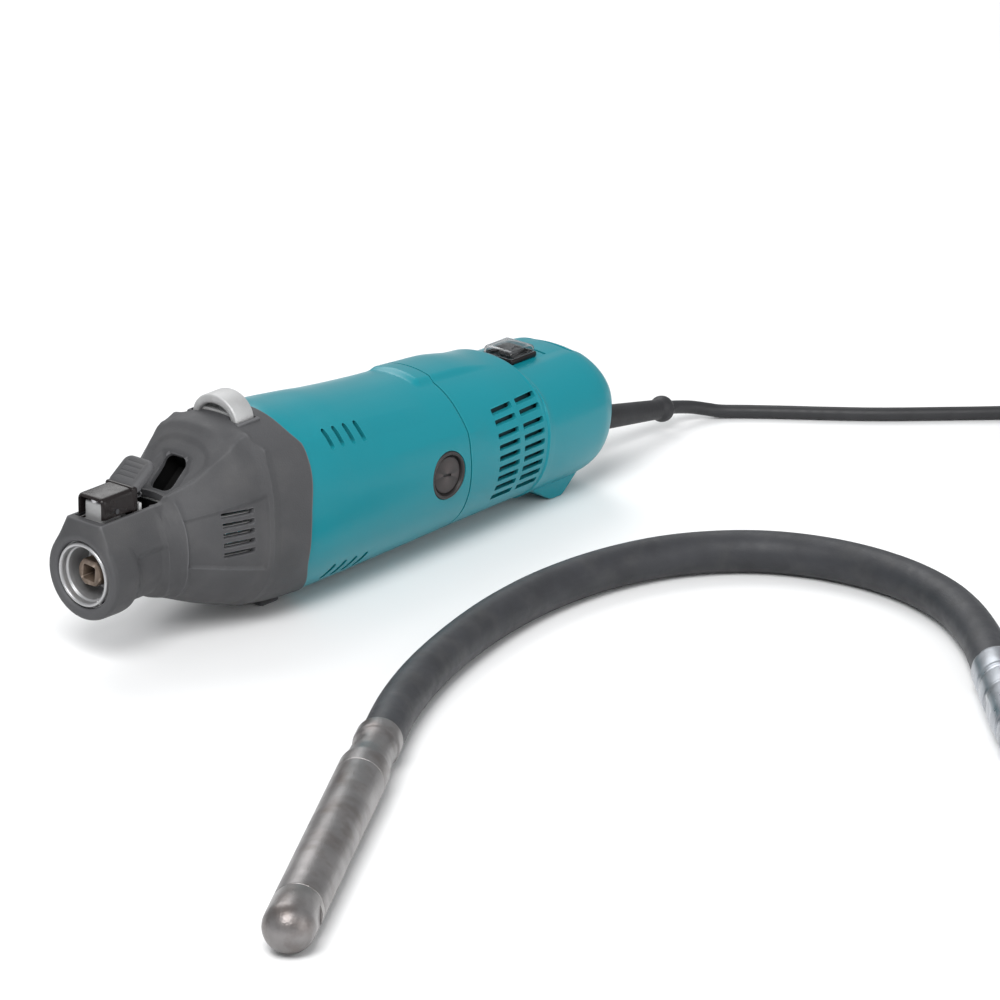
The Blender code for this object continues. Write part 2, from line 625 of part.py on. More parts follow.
def build_switch():
    box("switch_body", at(SWITCH_PLACE - 0.0095, -0.0080, 0.0060), at(SWITCH_PLACE + 0.0095, 0.0080, 0.0240),
        black_plastic)
    bezel = box("switch_bezel", at(SWITCH_PLACE - 0.0112, -0.0116, 0.0326), at(SWITCH_PLACE + 0.0112, 0.0116, 0.0344),
                black_plastic)
    collar = box("bezel_collar", at(SWITCH_PLACE - 0.0104, -0.0096, 0.0246), at(SWITCH_PLACE + 0.0104, 0.0096, 0.0334))
    window = box("bezel_window", at(SWITCH_PLACE - 0.0093, -0.0072, 0.0200), at(SWITCH_PLACE + 0.0093, 0.0072, 0.0400))
    join_to(bezel, collar)
    cut_away(bezel, window)
    axis = pivot("rocker_axis", at(SWITCH_PLACE, 0, ROCKER_PIVOT_RISE))
    half = ROCKER_HALF_LENGTH
    outline = ((-half, 0.0), (half, 0.0), (half, 0.0068), (0.0, 0.0056), (-half, 0.0068))
    form = bmesh.new()
    ends = [[form.verts.new((x, y, rise)) for x, rise in outline] for y in (-ROCKER_HALF_WIDTH, ROCKER_HALF_WIDTH)]
    form.faces.new(ends[0])
    form.faces.new(ends[1])
    for step in range(len(outline)):
        after = (step + 1) % len(outline)
        form.faces.new((ends[0][step], ends[0][after], ends[1][after], ends[1][step]))
    rocker = mesh_object("switch_rocker", form, black_plastic, at(SWITCH_PLACE, 0, ROCKER_PIVOT_RISE),
                         Matrix.Rotation(ROCKER_REST_TILT, 4, "Y"))
    hang_on(axis, rocker)
    guard = box("switch_guard", at(SWITCH_PLACE - 0.0110, -0.0114, 0.0347), at(SWITCH_PLACE + 0.0110, 0.0114, 0.0388),
                clear_plastic)
    well = box("guard_well", at(SWITCH_PLACE - 0.0101, -0.0105, 0.0300), at(SWITCH_PLACE + 0.0101, 0.0105, 0.0379))
    cut_away(guard, well)


# Cord

def build_cord():
    droop = Vector((math.cos(GUARD_DROOP), 0, -math.sin(GUARD_DROOP)))
    start = at(*GUARD_START)
    turned("cord_guard",
           [(GUARD_LENGTH, 0.0), (GUARD_LENGTH, 0.0070), (GUARD_LENGTH - 0.0015, 0.0080),
            (GUARD_LENGTH - 0.0075, 0.0080), (GUARD_LENGTH - 0.0095, 0.0060), (0.0170, 0.0082), (0.0112, 0.0082), (0.0112, 0.0070),
            (0.0030, 0.0070), (0.0030, 0.0096), (0.0, 0.0096), (0.0, 0.0)],
           start, droop, black_rubber, 24, True)
    clamp_low = at(0.3700, -0.0130, -0.0320)
    box("cord_clamp", clamp_low, at(0.3820, 0.0130, -0.0270), black_plastic)
    for word, side in (("left", -1), ("right", 1)):
        rod("clamp_screw_" + word, at(0.3760, side * 0.0090, -0.0267), at(0.3760, side * 0.0090, -0.0240), 0.0030,
            steel, 12)
    leaves = [start + droop * (GUARD_LENGTH + along) for along in (0.0008, 0.0068)]
    tube("mains_cord", smooth_points(leaves + list(CORD_ROUTE), 0.0160), CORD_RADIUS, black_rubber, 2)
    tube("cord_tail", smooth_points(TAIL_ROUTE, 0.0120), CORD_RADIUS, black_rubber, 2)
    centre = Vector((*COIL_CENTRE, COIL_BASE))
    turned("cord_coil",
           [(COIL_HEIGHT, COIL_INNER + 0.004), (COIL_HEIGHT, COIL_OUTER - 0.004), (COIL_HEIGHT - 0.004, COIL_OUTER),
            (0.004, COIL_OUTER), (0.0, COIL_OUTER - 0.004), (0.0, COIL_INNER + 0.004), (0.004, COIL_INNER),
            (COIL_HEIGHT - 0.004, COIL_INNER)],
           centre, (0, 0, 1), black_rubber)
    middle = (COIL_INNER + COIL_OUTER) / 2
    reach = (COIL_OUTER - COIL_INNER) / 2
    tie_place = Vector((COIL_CENTRE.x + middle, COIL_CENTRE.y, COIL_BASE + COIL_HEIGHT / 2))
    tie = box("coil_tie", tie_place - Vector((reach + 0.0024, 0.0035, COIL_HEIGHT / 2 + 0.0015)),
              tie_place + Vector((reach + 0.0024, 0.0035, COIL_HEIGHT / 2 + 0.0015)), black_plastic)
    through = box("tie_hollow", tie_place - Vector((reach + 0.0012, 0.0060, COIL_HEIGHT / 2 + 0.0005)),
                  tie_place + Vector((reach + 0.0012, 0.0060, COIL_HEIGHT / 2 + 0.0005)))
    cut_away(tie, through)


def build_plug():
    heading = Vector((math.cos(PLUG_HEADING), math.sin(PLUG_HEADING), 0))
    side = Vector((-heading.y, heading.x, 0))
    rings = []
    for along, half_width, half_height in ((0.0, 0.0060, 0.0058), (0.0180, 0.0080, 0.0078), (0.0260, 0.0150, 0.0115),
                                           (0.0400, 0.0180, 0.0132), (0.0480, 0.0180, 0.0132)):
        ring = []
        for step in range(20):
            angle = 2 * math.pi * step / 20
            ring.append(PLUG_START + heading * along + side * half_width * math.cos(angle)
                        + Vector((0, 0, half_height * math.sin(angle))))
        rings.append(ring)
    body = loft("plug_body", rings, black_rubber, False)
    for word, sign in (("left", -1), ("right", 1)):
        base = PLUG_START + heading * 0.0430 + side * sign * 0.0095
        socket = rod("pin_hole_" + word, base, base + heading * 0.0100, 0.0027, sides=12)
        cut_away(body, socket)
        rod("plug_pin_" + word, base + heading * GAP, base + heading * 0.0240, 0.0024, steel, 12)


# Flexible shaft

def build_flexible_shaft():
    points = smooth_points(HOSE_ROUTE, HOSE_STEP)
    tube("flex_hose", points, HOSE_RADIUS, black_rubber, 3)
    coupling_way = (points[0] - points[1]).normalized()
    poker_way = (points[-1] - points[-2]).normalized()
    lift = Vector((0, 0, COUPLING_RADIUS + GAP - points[0].z))
    start = points[0] + coupling_way * GAP + lift
    turned("hose_ferrule",
           [(0.0300, 0.0), (0.0300, 0.0135), (0.0270, 0.0142), (0.0030, 0.0142), (0.0, 0.0130), (0.0, 0.0)],
           start, coupling_way, bright_steel, 24, True)
    sleeve_start = start + coupling_way * (0.0300 + GAP)
    turned("coupling_sleeve",
           [(0.0720, 0.0100), (0.0720, 0.0130), (0.0700, COUPLING_RADIUS), (0.0600, COUPLING_RADIUS),
            (0.0590, 0.0128), (0.0550, 0.0128), (0.0540, COUPLING_RADIUS), (0.0010, COUPLING_RADIUS),
            (0.0, 0.0130), (0.0, 0.0060), (0.0360, 0.0060), (0.0360, 0.0100)],
           sleeve_start, coupling_way, bright_steel, 24)
    turned("drive_tip", [(0.0600, 0.0), (0.0600, 0.0055), (0.0020, 0.0055), (0.0020, 0.0)],
           sleeve_start, coupling_way, steel, 16, True)
    poker_lift = Vector((0, 0, POKER_RADIUS + GAP - points[-1].z))
    neck_start = points[-1] + poker_way * GAP + poker_lift
    turned("poker_neck",
           [(0.0600, 0.0), (0.0600, POKER_RADIUS), (0.0440, POKER_RADIUS), (0.0300, 0.0118), (0.0120, 0.0118),
            (0.0100, 0.0130), (0.0, 0.0130), (0.0, 0.0)],
           neck_start, poker_way, worn_steel, 24, True)
    tube_start = neck_start + poker_way * (0.0600 + GAP)
    turned("poker_tube", [(0.1640, 0.0113), (0.1640, POKER_RADIUS), (0.0, POKER_RADIUS), (0.0, 0.0113)],
           tube_start, poker_way, worn_steel, 24)
    turned("poker_bearing", [(0.0100, 0.0110), (0.0, 0.0110), (0.0, 0.0043), (0.0100, 0.0043)],
           tube_start + poker_way * 0.0100, poker_way, steel, 24)
    eccentric = turned("eccentric", [(0.1100, 0.0), (0.1100, 0.0098), (0.0150, 0.0098), (0.0150, 0.0040),
                                     (0.0, 0.0040), (0.0, 0.0)],
                       tube_start + poker_way * 0.0080, poker_way, steel, 24, True)
    middle = tube_start + poker_way * 0.0760
    relief = box("eccentric_relief", (-0.0120, -0.0055, -0.0500), (0.0120, 0.0055, 0.0500))
    relief.matrix_world = (Matrix.Translation(middle) @ poker_way.to_track_quat("Z", "Y").to_matrix().to_4x4()
                           @ Matrix.Translation((0, 0.0070, 0)))
    cut_away(eccentric, relief)
    tip_start = tube_start + poker_way * (0.1640 + GAP)
    nose = [(0.0360 - 0.0140 * (1 - math.cos(math.radians(angle))), POKER_RADIUS * math.sin(math.radians(angle)))
            for angle in range(0, 91, 15)]
    turned("poker_tip", nose + [(0.0, POKER_RADIUS), (0.0, 0.0)], tip_start, poker_way, worn_steel, 24, True)


clear_scene()
parts = new_collection("concrete_vibrator")
cutters = new_collection("cutters")

teal_plastic = material("teal_plastic", (0.012, 0.260, 0.310), 0.34)
grey_rubber = material("grey_rubber", (0.100, 0.100, 0.105), 0.62)
black_rubber = material("black_rubber", (0.030, 0.030, 0.032), 0.60)
black_plastic = material("black_plastic", (0.025, 0.025, 0.026), 0.40)
clear_plastic = material("clear_plastic", (0.750, 0.770, 0.780), 0.15, alpha=0.35)
white_plastic = material("white_plastic", (0.700, 0.700, 0.690), 0.45)
cast_aluminium = material("cast_aluminium", (0.560, 0.570, 0.580), 0.45, 1.0)
bright_aluminium = material("bright_aluminium", (0.780, 0.780, 0.780), 0.35, 0.9)
steel = material("steel", (0.520, 0.520, 0.530), 0.32, 1.0)
bright_steel = material("bright_steel", (0.600, 0.620, 0.640), 0.35, 1.0)
worn_steel = material("worn_steel", (0.300, 0.285, 0.275), 0.50, 0.9)
brown_steel = material("brown_steel", (0.230, 0.150, 0.090), 0.50, 0.8)
brass = material("brass", (0.700, 0.520, 0.250), 0.35, 1.0)
copper = material("copper", (0.720, 0.350, 0.200), 0.35, 1.0)

build_boot()
build_front_housing()
build_motor_housing()
build_rear_cover()
build_socket()
build_motor()
build_brushes()
build_latch()
build_hook_eye()
build_switch()
build_cord()
build_plug()
build_flexible_shaft()
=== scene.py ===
import json
import math

import bmesh
import bpy
import numpy as np
from mathutils import Matrix, Vector


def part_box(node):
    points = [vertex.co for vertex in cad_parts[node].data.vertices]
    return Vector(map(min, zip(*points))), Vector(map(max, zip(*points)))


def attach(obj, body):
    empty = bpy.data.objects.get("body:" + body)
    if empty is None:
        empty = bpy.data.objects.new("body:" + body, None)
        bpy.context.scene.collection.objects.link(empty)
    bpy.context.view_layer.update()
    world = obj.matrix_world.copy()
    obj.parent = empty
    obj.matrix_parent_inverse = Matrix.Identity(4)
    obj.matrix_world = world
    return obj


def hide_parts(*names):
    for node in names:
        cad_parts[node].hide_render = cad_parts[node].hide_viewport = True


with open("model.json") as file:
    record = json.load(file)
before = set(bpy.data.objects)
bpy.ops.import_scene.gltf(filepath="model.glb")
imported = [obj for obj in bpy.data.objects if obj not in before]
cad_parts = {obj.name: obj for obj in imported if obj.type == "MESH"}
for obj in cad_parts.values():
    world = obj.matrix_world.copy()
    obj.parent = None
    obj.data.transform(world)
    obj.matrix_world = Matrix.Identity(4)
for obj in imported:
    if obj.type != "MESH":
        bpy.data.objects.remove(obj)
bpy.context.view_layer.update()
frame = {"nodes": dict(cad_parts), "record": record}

# Driving dimensions, as in the part: "place" is the distance behind the socket face, "rise" the height
# above the motor's axis
UNIT_LENGTH = 0.402
AXIS_HEIGHT = 0.053
BOOT_WALL = 0.0037
SHELL_WALL = 0.0028
SEAM = 0.2680
CORD_RADIUS = 0.0040
GUARD_START = (0.3935, 0.0, -0.0215)
GUARD_DROOP = math.radians(10)
GUARD_LENGTH = 0.1070
HOSE_RADIUS = 0.0120
EYE_PLACE = 0.1147
CAP_PLACE = 0.2486
CRESCENT = 0.0021
SWITCH_PLACE = 0.3560
SEAM_GAP = 0.0006
VENT_RISES = (0.0240, 0.0180, 0.0105, 0.0038, -0.0028, -0.0093, -0.0155, -0.0216, -0.0280)


def at(place, y=0.0, rise=0.0):
    """World position from the distance behind the socket face and the height above the axis."""
    return Vector((place - UNIT_LENGTH / 2, y, AXIS_HEIGHT + rise))


# Finishes

def node_of(tree, kind, **settings):
    made = tree.nodes.new(kind)
    for name, value in settings.items():
        setattr(made, name, value)
    return made


def noise(tree, scale, detail=4.0, stretch=None):
    """The factor of a noise in the object's own coordinates, in metres."""
    place = node_of(tree, "ShaderNodeTexCoord").outputs["Object"]
    if stretch:
        mapping = node_of(tree, "ShaderNodeMapping")
        mapping.inputs["Scale"].default_value = stretch
        tree.links.new(place, mapping.inputs["Vector"])
        place = mapping.outputs["Vector"]
    made = node_of(tree, "ShaderNodeTexNoise")
    made.inputs["Scale"].default_value = scale
    made.inputs["Detail"].default_value = detail
    tree.links.new(place, made.inputs["Vector"])
    return made.outputs["Fac"]


def spread(tree, value, low, high, start=0.3, end=0.7):
    """Map a factor between start and end to the range from low to high."""
    made = node_of(tree, "ShaderNodeMapRange")
    made.inputs["From Min"].default_value = start
    made.inputs["From Max"].default_value = end
    made.inputs["To Min"].default_value = low
    made.inputs["To Max"].default_value = high
    tree.links.new(value, made.inputs["Value"])
    return made.outputs["Result"]


def blended(tree, factor, first, second):
    made = node_of(tree, "ShaderNodeMix", data_type="RGBA")
    tree.links.new(factor, made.inputs["Factor"])
    for socket, value in ((made.inputs[6], first), (made.inputs[7], second)):
        if isinstance(value, tuple):
            socket.default_value = (*value, 1.0)
        else:
            tree.links.new(value, socket)
    return made.outputs[2]


def finish(name, colour, roughness, metallic=0.0, blotch=(28.0, 0.10), grain=(1600.0, 0.10), edge=None,
           brushed=None, coat=0.0, dirt=None, rough_spread=0.06, specular=0.5):
    """A worked surface: blotches of colour, fine grain, worn edges and dirt, all worked out in the nodes."""
    made = bpy.data.materials.new(name)
    made.use_nodes = True
    tree = made.node_tree
    shader = tree.nodes["Principled BSDF"]
    darker = tuple(part * (1 - blotch[1]) for part in colour)
    lighter = tuple(min(1.0, part * (1 + blotch[1])) for part in colour)
    result = blended(tree, spread(tree, noise(tree, blotch[0]), 0.0, 1.0), darker, lighter)
    if dirt:
        tint, scale, amount = dirt
        result = blended(tree, spread(tree, noise(tree, scale, 8.0), 0.0, amount, 0.50, 0.72), result, tint)
    if edge:
        tint, amount = edge
        point = node_of(tree, "ShaderNodeNewGeometry").outputs["Pointiness"]
        worn = spread(tree, point, 0.0, amount, 0.515, 0.56)
        result = blended(tree, worn, result, tint)
    tree.links.new(result, shader.inputs["Base Color"])
    uneven = noise(tree, blotch[0] * 3.0, 6.0)
    tree.links.new(spread(tree, uneven, roughness - rough_spread, roughness + rough_spread),
                   shader.inputs["Roughness"])
    shader.inputs["Metallic"].default_value = metallic
    shader.inputs["Specular IOR Level"].default_value = specular
    if coat:
        shader.inputs["Coat Weight"].default_value = coat
        shader.inputs["Coat Roughness"].default_value = 0.12
    bump = node_of(tree, "ShaderNodeBump")
    bump.inputs["Strength"].default_value = grain[1]
    bump.inputs["Distance"].default_value = 0.0004
    tree.links.new(noise(tree, grain[0], 3.0, brushed), bump.inputs["Height"])
    tree.links.new(bump.outputs["Normal"], shader.inputs["Normal"])
    return made


TEAL = finish("teal_plastic", (0.003, 0.205, 0.250), 0.32, blotch=(9.0, 0.05), grain=(1400.0, 0.05),
              edge=((0.030, 0.300, 0.345), 0.45), rough_spread=0.02, specular=0.34)
# Painted shade: a darkened copy of the teal, for the sheet behind the vents that stands in for the shadow
# inside them.
TEAL_PAINTED_SHADE = finish("teal_painted_shade", (0.002, 0.045, 0.055), 0.60, blotch=(30.0, 0.15))
RUBBER = finish("grey_rubber", (0.056, 0.056, 0.059), 0.60, blotch=(22.0, 0.16), grain=(1100.0, 0.35),
                edge=((0.120, 0.120, 0.126), 0.8), dirt=((0.085, 0.083, 0.082), 45.0, 0.35), specular=0.35)
BLACK_RUBBER = finish("black_rubber", (0.018, 0.018, 0.020), 0.52, blotch=(40.0, 0.20), grain=(900.0, 0.35),
                      edge=((0.050, 0.050, 0.054), 0.5), specular=0.4)
CORD_JACKET = finish("cord_jacket", (0.016, 0.016, 0.018), 0.50, blotch=(60.0, 0.22), grain=(2200.0, 0.25))
HOSE_JACKET = finish("hose_jacket", (0.026, 0.027, 0.031), 0.52, blotch=(50.0, 0.20), grain=(1500.0, 0.45),
                     dirt=((0.055, 0.054, 0.054), 70.0, 0.40), specular=0.4)
BLACK_PLASTIC = finish("black_plastic", (0.014, 0.011, 0.011), 0.24, blotch=(60.0, 0.20),
                       grain=(1800.0, 0.10), specular=0.22)
CAP_PLASTIC = finish("cap_plastic", (0.020, 0.018, 0.018), 0.42, blotch=(60.0, 0.18), grain=(1800.0, 0.2),
                     edge=((0.080, 0.062, 0.060), 0.8), specular=0.4)
WHITE_PLASTIC = finish("white_plastic", (0.700, 0.700, 0.690), 0.45, grain=(1500.0, 0.1))
CAST = finish("cast_aluminium", (0.400, 0.400, 0.400), 0.52, 0.45, blotch=(60.0, 0.10), grain=(1300.0, 0.55),
              edge=((0.620, 0.620, 0.620), 0.6), dirt=((0.220, 0.215, 0.210), 90.0, 0.30))
MACHINED = finish("machined_aluminium", (0.400, 0.400, 0.405), 0.38, 0.70, blotch=(80.0, 0.07),
                  grain=(2600.0, 0.18), edge=((0.640, 0.640, 0.640), 0.6))
STEEL = finish("steel", (0.420, 0.420, 0.430), 0.32, 1.0, blotch=(70.0, 0.12), grain=(2400.0, 0.2))
DARK_STEEL = finish("dark_steel", (0.090, 0.090, 0.095), 0.40, 0.9, blotch=(70.0, 0.15), grain=(2400.0, 0.2))
ZINC = finish("zinc_plate", (0.380, 0.400, 0.430), 0.32, 1.0, blotch=(55.0, 0.14), grain=(1900.0, 0.25),
              edge=((0.700, 0.710, 0.720), 0.6), dirt=((0.130, 0.125, 0.122), 85.0, 0.40))
WORN = finish("worn_steel", (0.215, 0.205, 0.203), 0.36, 0.85, blotch=(38.0, 0.25), grain=(1200.0, 0.4),
              edge=((0.420, 0.400, 0.390), 0.5), dirt=((0.085, 0.060, 0.048), 60.0, 0.60))
BROWN = finish("brown_steel", (0.110, 0.078, 0.056), 0.46, 0.35, blotch=(120.0, 0.25), grain=(2000.0, 0.4),
               edge=((0.340, 0.270, 0.220), 0.8))
BRASS = finish("brass", (0.700, 0.520, 0.250), 0.35, 1.0, grain=(2000.0, 0.2))
COPPER = finish("copper", (0.720, 0.350, 0.200), 0.35, 1.0, grain=(1200.0, 0.4))
# Painted shade: near-black, for the sheets that stand in for the shadow in the thumb-pad well and behind the
# latch.
PAINTED_SHADE_BLACK = finish("painted_shade_black", (0.006, 0.006, 0.006), 0.85, grain=(900.0, 0.3), specular=0.1)


def clear_finish():
    made = bpy.data.materials.new("clear_plastic")
    made.use_nodes = True
    tree = made.node_tree
    shader = tree.nodes["Principled BSDF"]
    result = blended(tree, noise(tree, 60.0), (0.520, 0.540, 0.550), (0.640, 0.650, 0.660))
    tree.links.new(result, shader.inputs["Base Color"])
    tree.links.new(spread(tree, noise(tree, 200.0), 0.04, 0.12), shader.inputs["Roughness"])
    shader.inputs["Transmission Weight"].default_value = 1.0
    shader.inputs["IOR"].default_value = 1.25
    return made


CLEAR = clear_finish()


# Building helpers

def facing(way):
    """The turn that takes the upward direction to the given one."""
    return way.to_track_quat("Z", "Y").to_matrix().to_4x4()


def new_piece(name, mesh, coat, body, replaced=()):
    """Link a piece, give it its finish, tie it to its body, and hide the nodes it stands for."""
    made = bpy.data.objects.new(name, mesh)
    bpy.context.scene.collection.objects.link(made)
    made.data.materials.clear()
    made.data.materials.append(coat)
    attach(made, body)
    if replaced:
        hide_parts(*replaced)
    return made


def from_form(name, form, matrix=Matrix.Identity(4)):
    bmesh.ops.recalc_face_normals(form, faces=form.faces)
    mesh = bpy.data.meshes.new(name)
    form.to_mesh(mesh)
    form.free()
    mesh.transform(matrix)
    return mesh


def shade(mesh, angle=35.0):
    """Smooth faces, with sharp edges where they turn by more than the angle."""
    mesh.polygons.foreach_set("use_smooth", [True] * len(mesh.polygons))
    mesh.set_sharp_from_angle(angle=math.radians(angle))
    return mesh


def shaped(mesh, tools=(), joins=(), bevel=0.0, segments=3, bevel_angle=38.0):
    """The mesh after joining and cutting it with tool meshes and rounding its edges."""
    scratch = bpy.data.objects.new("scratch", mesh)
    bpy.context.scene.collection.objects.link(scratch)
    helpers = []
    for operation, group in (("UNION", joins), ("DIFFERENCE", tools)):
        for tool in group:
            helper = bpy.data.objects.new("helper", tool)
            bpy.context.scene.collection.objects.link(helper)
            helpers.append(helper)
            cut = scratch.modifiers.new(operation, "BOOLEAN")
            cut.operation = operation
            cut.solver = "EXACT"
            cut.object = helper
    if bevel:
        rounding = scratch.modifiers.new("Rounding", "BEVEL")
        rounding.width = bevel
        rounding.segments = segments
        rounding.limit_method = "ANGLE"
        rounding.angle_limit = math.radians(bevel_angle)
        rounding.harden_normals = False
    bpy.context.view_layer.update()
    ready = scratch.evaluated_get(bpy.context.evaluated_depsgraph_get())
    result = bpy.data.meshes.new_from_object(ready)
    for item in helpers + [scratch]:
        bpy.data.objects.remove(item, do_unlink=True)
    return result


def box_mesh(low, high, turn=None, centre=None):
    """A box between two corners, turned about its centre, or placed at one."""
    low, high = Vector(low), Vector(high)
    form = bmesh.new()
    bmesh.ops.create_cube(form, size=1.0)
    bmesh.ops.scale(form, vec=high - low, verts=form.verts)
    place = (low + high) / 2 if centre is None else Vector(centre)
    return from_form("box", form, Matrix.Translation(place) @ (turn or Matrix.Identity(4)))


def rod_mesh(start, end, radius, sides=48):
    start, end = Vector(start), Vector(end)
    way = end - start
    form = bmesh.new()
    bmesh.ops.create_cone(form, cap_ends=True, segments=sides, radius1=radius, radius2=radius,
                          depth=way.length)
    return from_form("rod", form, Matrix.Translation((start + end) / 2) @ facing(way))


def block(low, high, bevel=0.0):
    """A box between two (place, y, rise) corners, with round edges where a bevel is given."""
    box = box_mesh(at(*low), at(*high))
    return shaped(box, bevel=bevel) if bevel else box


def prism_mesh(outline, low, high, matrix=Matrix.Identity(4)):
    """A flat outline pushed along its normal from low to high."""
    form = bmesh.new()
    ends = [[form.verts.new((x, y, height)) for x, y in outline] for height in (low, high)]
    form.faces.new(ends[0])
    form.faces.new(ends[1])
    for step in range(len(outline)):
        after = (step + 1) % len(outline)
        form.faces.new((ends[0][step], ends[0][after], ends[1][after], ends[1][step]))
    return from_form("prism", form, matrix)


def slot_outline(length, width, radius, steps=5):
    """A rectangle with round corners, its length along the first direction."""
    points = []
    for side_x, side_y, start in ((1, 1, 0), (-1, 1, 90), (-1, -1, 180), (1, -1, 270)):
        for step in range(steps + 1):
            angle = math.radians(start + 90 * step / steps)
            points.append((side_x * (length / 2 - radius) + radius * math.cos(angle),
                           side_y * (width / 2 - radius) + radius * math.sin(angle)))
    return points


def turned_mesh(profile, start, direction, sides=96, solid=False):
    """Turn a profile of (distance along, radius) points about the line from start along direction."""
    form = bmesh.new()
    rows = []
    for along, radius in profile:
        if radius < 1e-6:
            rows.append([form.verts.new((0, 0, along))])
        else:
            rows.append([form.verts.new((radius * math.cos(2 * math.pi * step / sides),
                                         radius * math.sin(2 * math.pi * step / sides), along))
                         for step in range(sides)])
    pairs = list(zip(rows, rows[1:]))
    if not solid:
        pairs.append((rows[-1], rows[0]))
    for first, second in pairs:
        for step in range(sides):
            after = (step + 1) % sides
            corners = []
            for vert in (first[step % len(first)], first[after % len(first)],
                         second[after % len(second)], second[step % len(second)]):
                if vert not in corners:
                    corners.append(vert)
            if len(corners) > 2:
                form.faces.new(corners)
    return from_form("turned", form, Matrix.Translation(Vector(start)) @ facing(Vector(direction)))


def rounded(profile, radius, steps=4):
    """Round each inner corner of a profile by the radius, or by less where its sides are short."""
    points = [Vector(point) for point in profile]
    made = [tuple(points[0])]
    for before, corner, after in zip(points, points[1:], points[2:]):
        reach = min(radius, (before - corner).length * 0.45, (after - corner).length * 0.45)
        start = corner + (before - corner).normalized() * reach
        end = corner + (after - corner).normalized() * reach
        for step in range(steps + 1):
            t = step / steps
            made.append(tuple(start * (1 - t) ** 2 + corner * 2 * t * (1 - t) + end * t * t))
    made.append(tuple(points[-1]))
    return made


# Camera, floor and light

CAMERA_PLACE = (-2.87882, -2.64607, 1.53087)
CAMERA_AZIMUTH = math.radians(48.83)
CAMERA_FALL = math.radians(20.88)
CAMERA_LENS = 265.6
FLOOR_HALF = 9
WORLD_COLOUR = (0.96, 0.98, 1.0, 1.0)
WORLD_STRENGTH = 0.52
LAMP_AIM = (0.0, -0.05, 0.05)
LAMPS = (
    # name, place, size in metres, power in watts
    ("key", (-1.5, -0.9, 2.1), 1.3, 58.0),
    ("side", (0.3, -2.6, 0.9), 1.8, 20.0),
    ("back", (0.9, 1.6, 1.9), 1.6, 30.0),
)


def set_camera():
    camera = bpy.data.cameras.new("camera")
    camera.lens = CAMERA_LENS
    camera.sensor_width = 36.0
    camera.clip_end = 50.0
    viewer = bpy.data.objects.new("camera", camera)
    viewer.location = CAMERA_PLACE
    looking = Vector((math.sin(CAMERA_AZIMUTH) * math.cos(CAMERA_FALL),
                      math.cos(CAMERA_AZIMUTH) * math.cos(CAMERA_FALL), -math.sin(CAMERA_FALL)))
    viewer.rotation_euler = looking.to_track_quat("-Z", "Y").to_euler()
    bpy.context.scene.collection.objects.link(viewer)
    bpy.context.scene.camera = viewer
    bpy.context.scene.view_settings.view_transform = "Standard"


def set_floor():
    half = FLOOR_HALF
    floor = bpy.data.meshes.new("floor")
    corners = [(-half, -half, 0), (half, -half, 0), (half, half, 0), (-half, half, 0)]
    floor.from_pydata(corners, [], [(0, 1, 2, 3)])
    floor.materials.append(finish("floor", (0.86, 0.86, 0.86), 0.75, blotch=(3.0, 0.01), grain=(300.0, 0.02)))
    ground = bpy.data.objects.new("floor", floor)
    bpy.context.scene.collection.objects.link(ground)


def set_light():
    world = bpy.data.worlds.new("studio")
    world.use_nodes = True
    world.node_tree.nodes["Background"].inputs["Color"].default_value = WORLD_COLOUR
    world.node_tree.nodes["Background"].inputs["Strength"].default_value = WORLD_STRENGTH
    bpy.context.scene.world = world
    for name, place, size, power in LAMPS:
        light = bpy.data.lights.new(name, "AREA")
        light.shape = "SQUARE"
        light.size = size
        light.energy = power
        lamp = bpy.data.objects.new(name, light)
        lamp.location = place
        lamp.rotation_euler = (Vector(LAMP_AIM) - lamp.location).to_track_quat("-Z", "Y").to_euler()
        bpy.context.scene.collection.objects.link(lamp)


# Cords

CORD_ROUTE = (
    (0.3170, -0.0030, 0.0090),
    (0.3260, -0.0078, 0.0064),
    (0.3330, -0.0130, 0.0045),
    (0.3440, -0.0250, 0.0041),
    (0.3580, -0.0430, 0.0041),
    (0.3730, -0.0630, 0.0041),
    (0.3930, -0.0880, 0.0041),
    (0.4180, -0.1150, 0.0041),
    (0.4420, -0.1400, 0.0041),
    (0.4650, -0.1620, 0.0041),
)
TAIL_ROUTE = (
    (0.4860, -0.2810, 0.0048),
    (0.4760, -0.2945, 0.0100),
    (0.4670, -0.3057, 0.0136),
    (0.4607, -0.3132, 0.0137),
)
COIL_CENTRE = Vector((0.4483, -0.2263))
COIL_OUTER = 0.0560
COIL_ENTRY = (0.4830, -0.1770, 0.0048)
COIL_EXIT = (0.4957, -0.2640)
COIL_LIFT = 0.0071
COIL_FLOOR = CORD_RADIUS + 0.0018
PLUG_START = Vector((0.4605, -0.3134, 0.0137))
PLUG_HEADING = math.radians(-130.0)
HOSE_ROUTE = (
    (0.0980, -0.4010, 0.0122),
    (0.1340, -0.3620, 0.0122),
    (0.1610, -0.3210, 0.0122),
    (0.1740, -0.2750, 0.0122),
    (0.1710, -0.2290, 0.0122),
    (0.1530, -0.1890, 0.0122),
    (0.1200, -0.1590, 0.0122),
    (0.0790, -0.1430, 0.0122),
    (0.0330, -0.1380, 0.0122),
    (-0.0140, -0.1420, 0.0122),
    (-0.0620, -0.1530, 0.0122),
    (-0.1090, -0.1690, 0.0122),
    (-0.1540, -0.1900, 0.0122),
    (-0.1960, -0.2150, 0.0122),
)


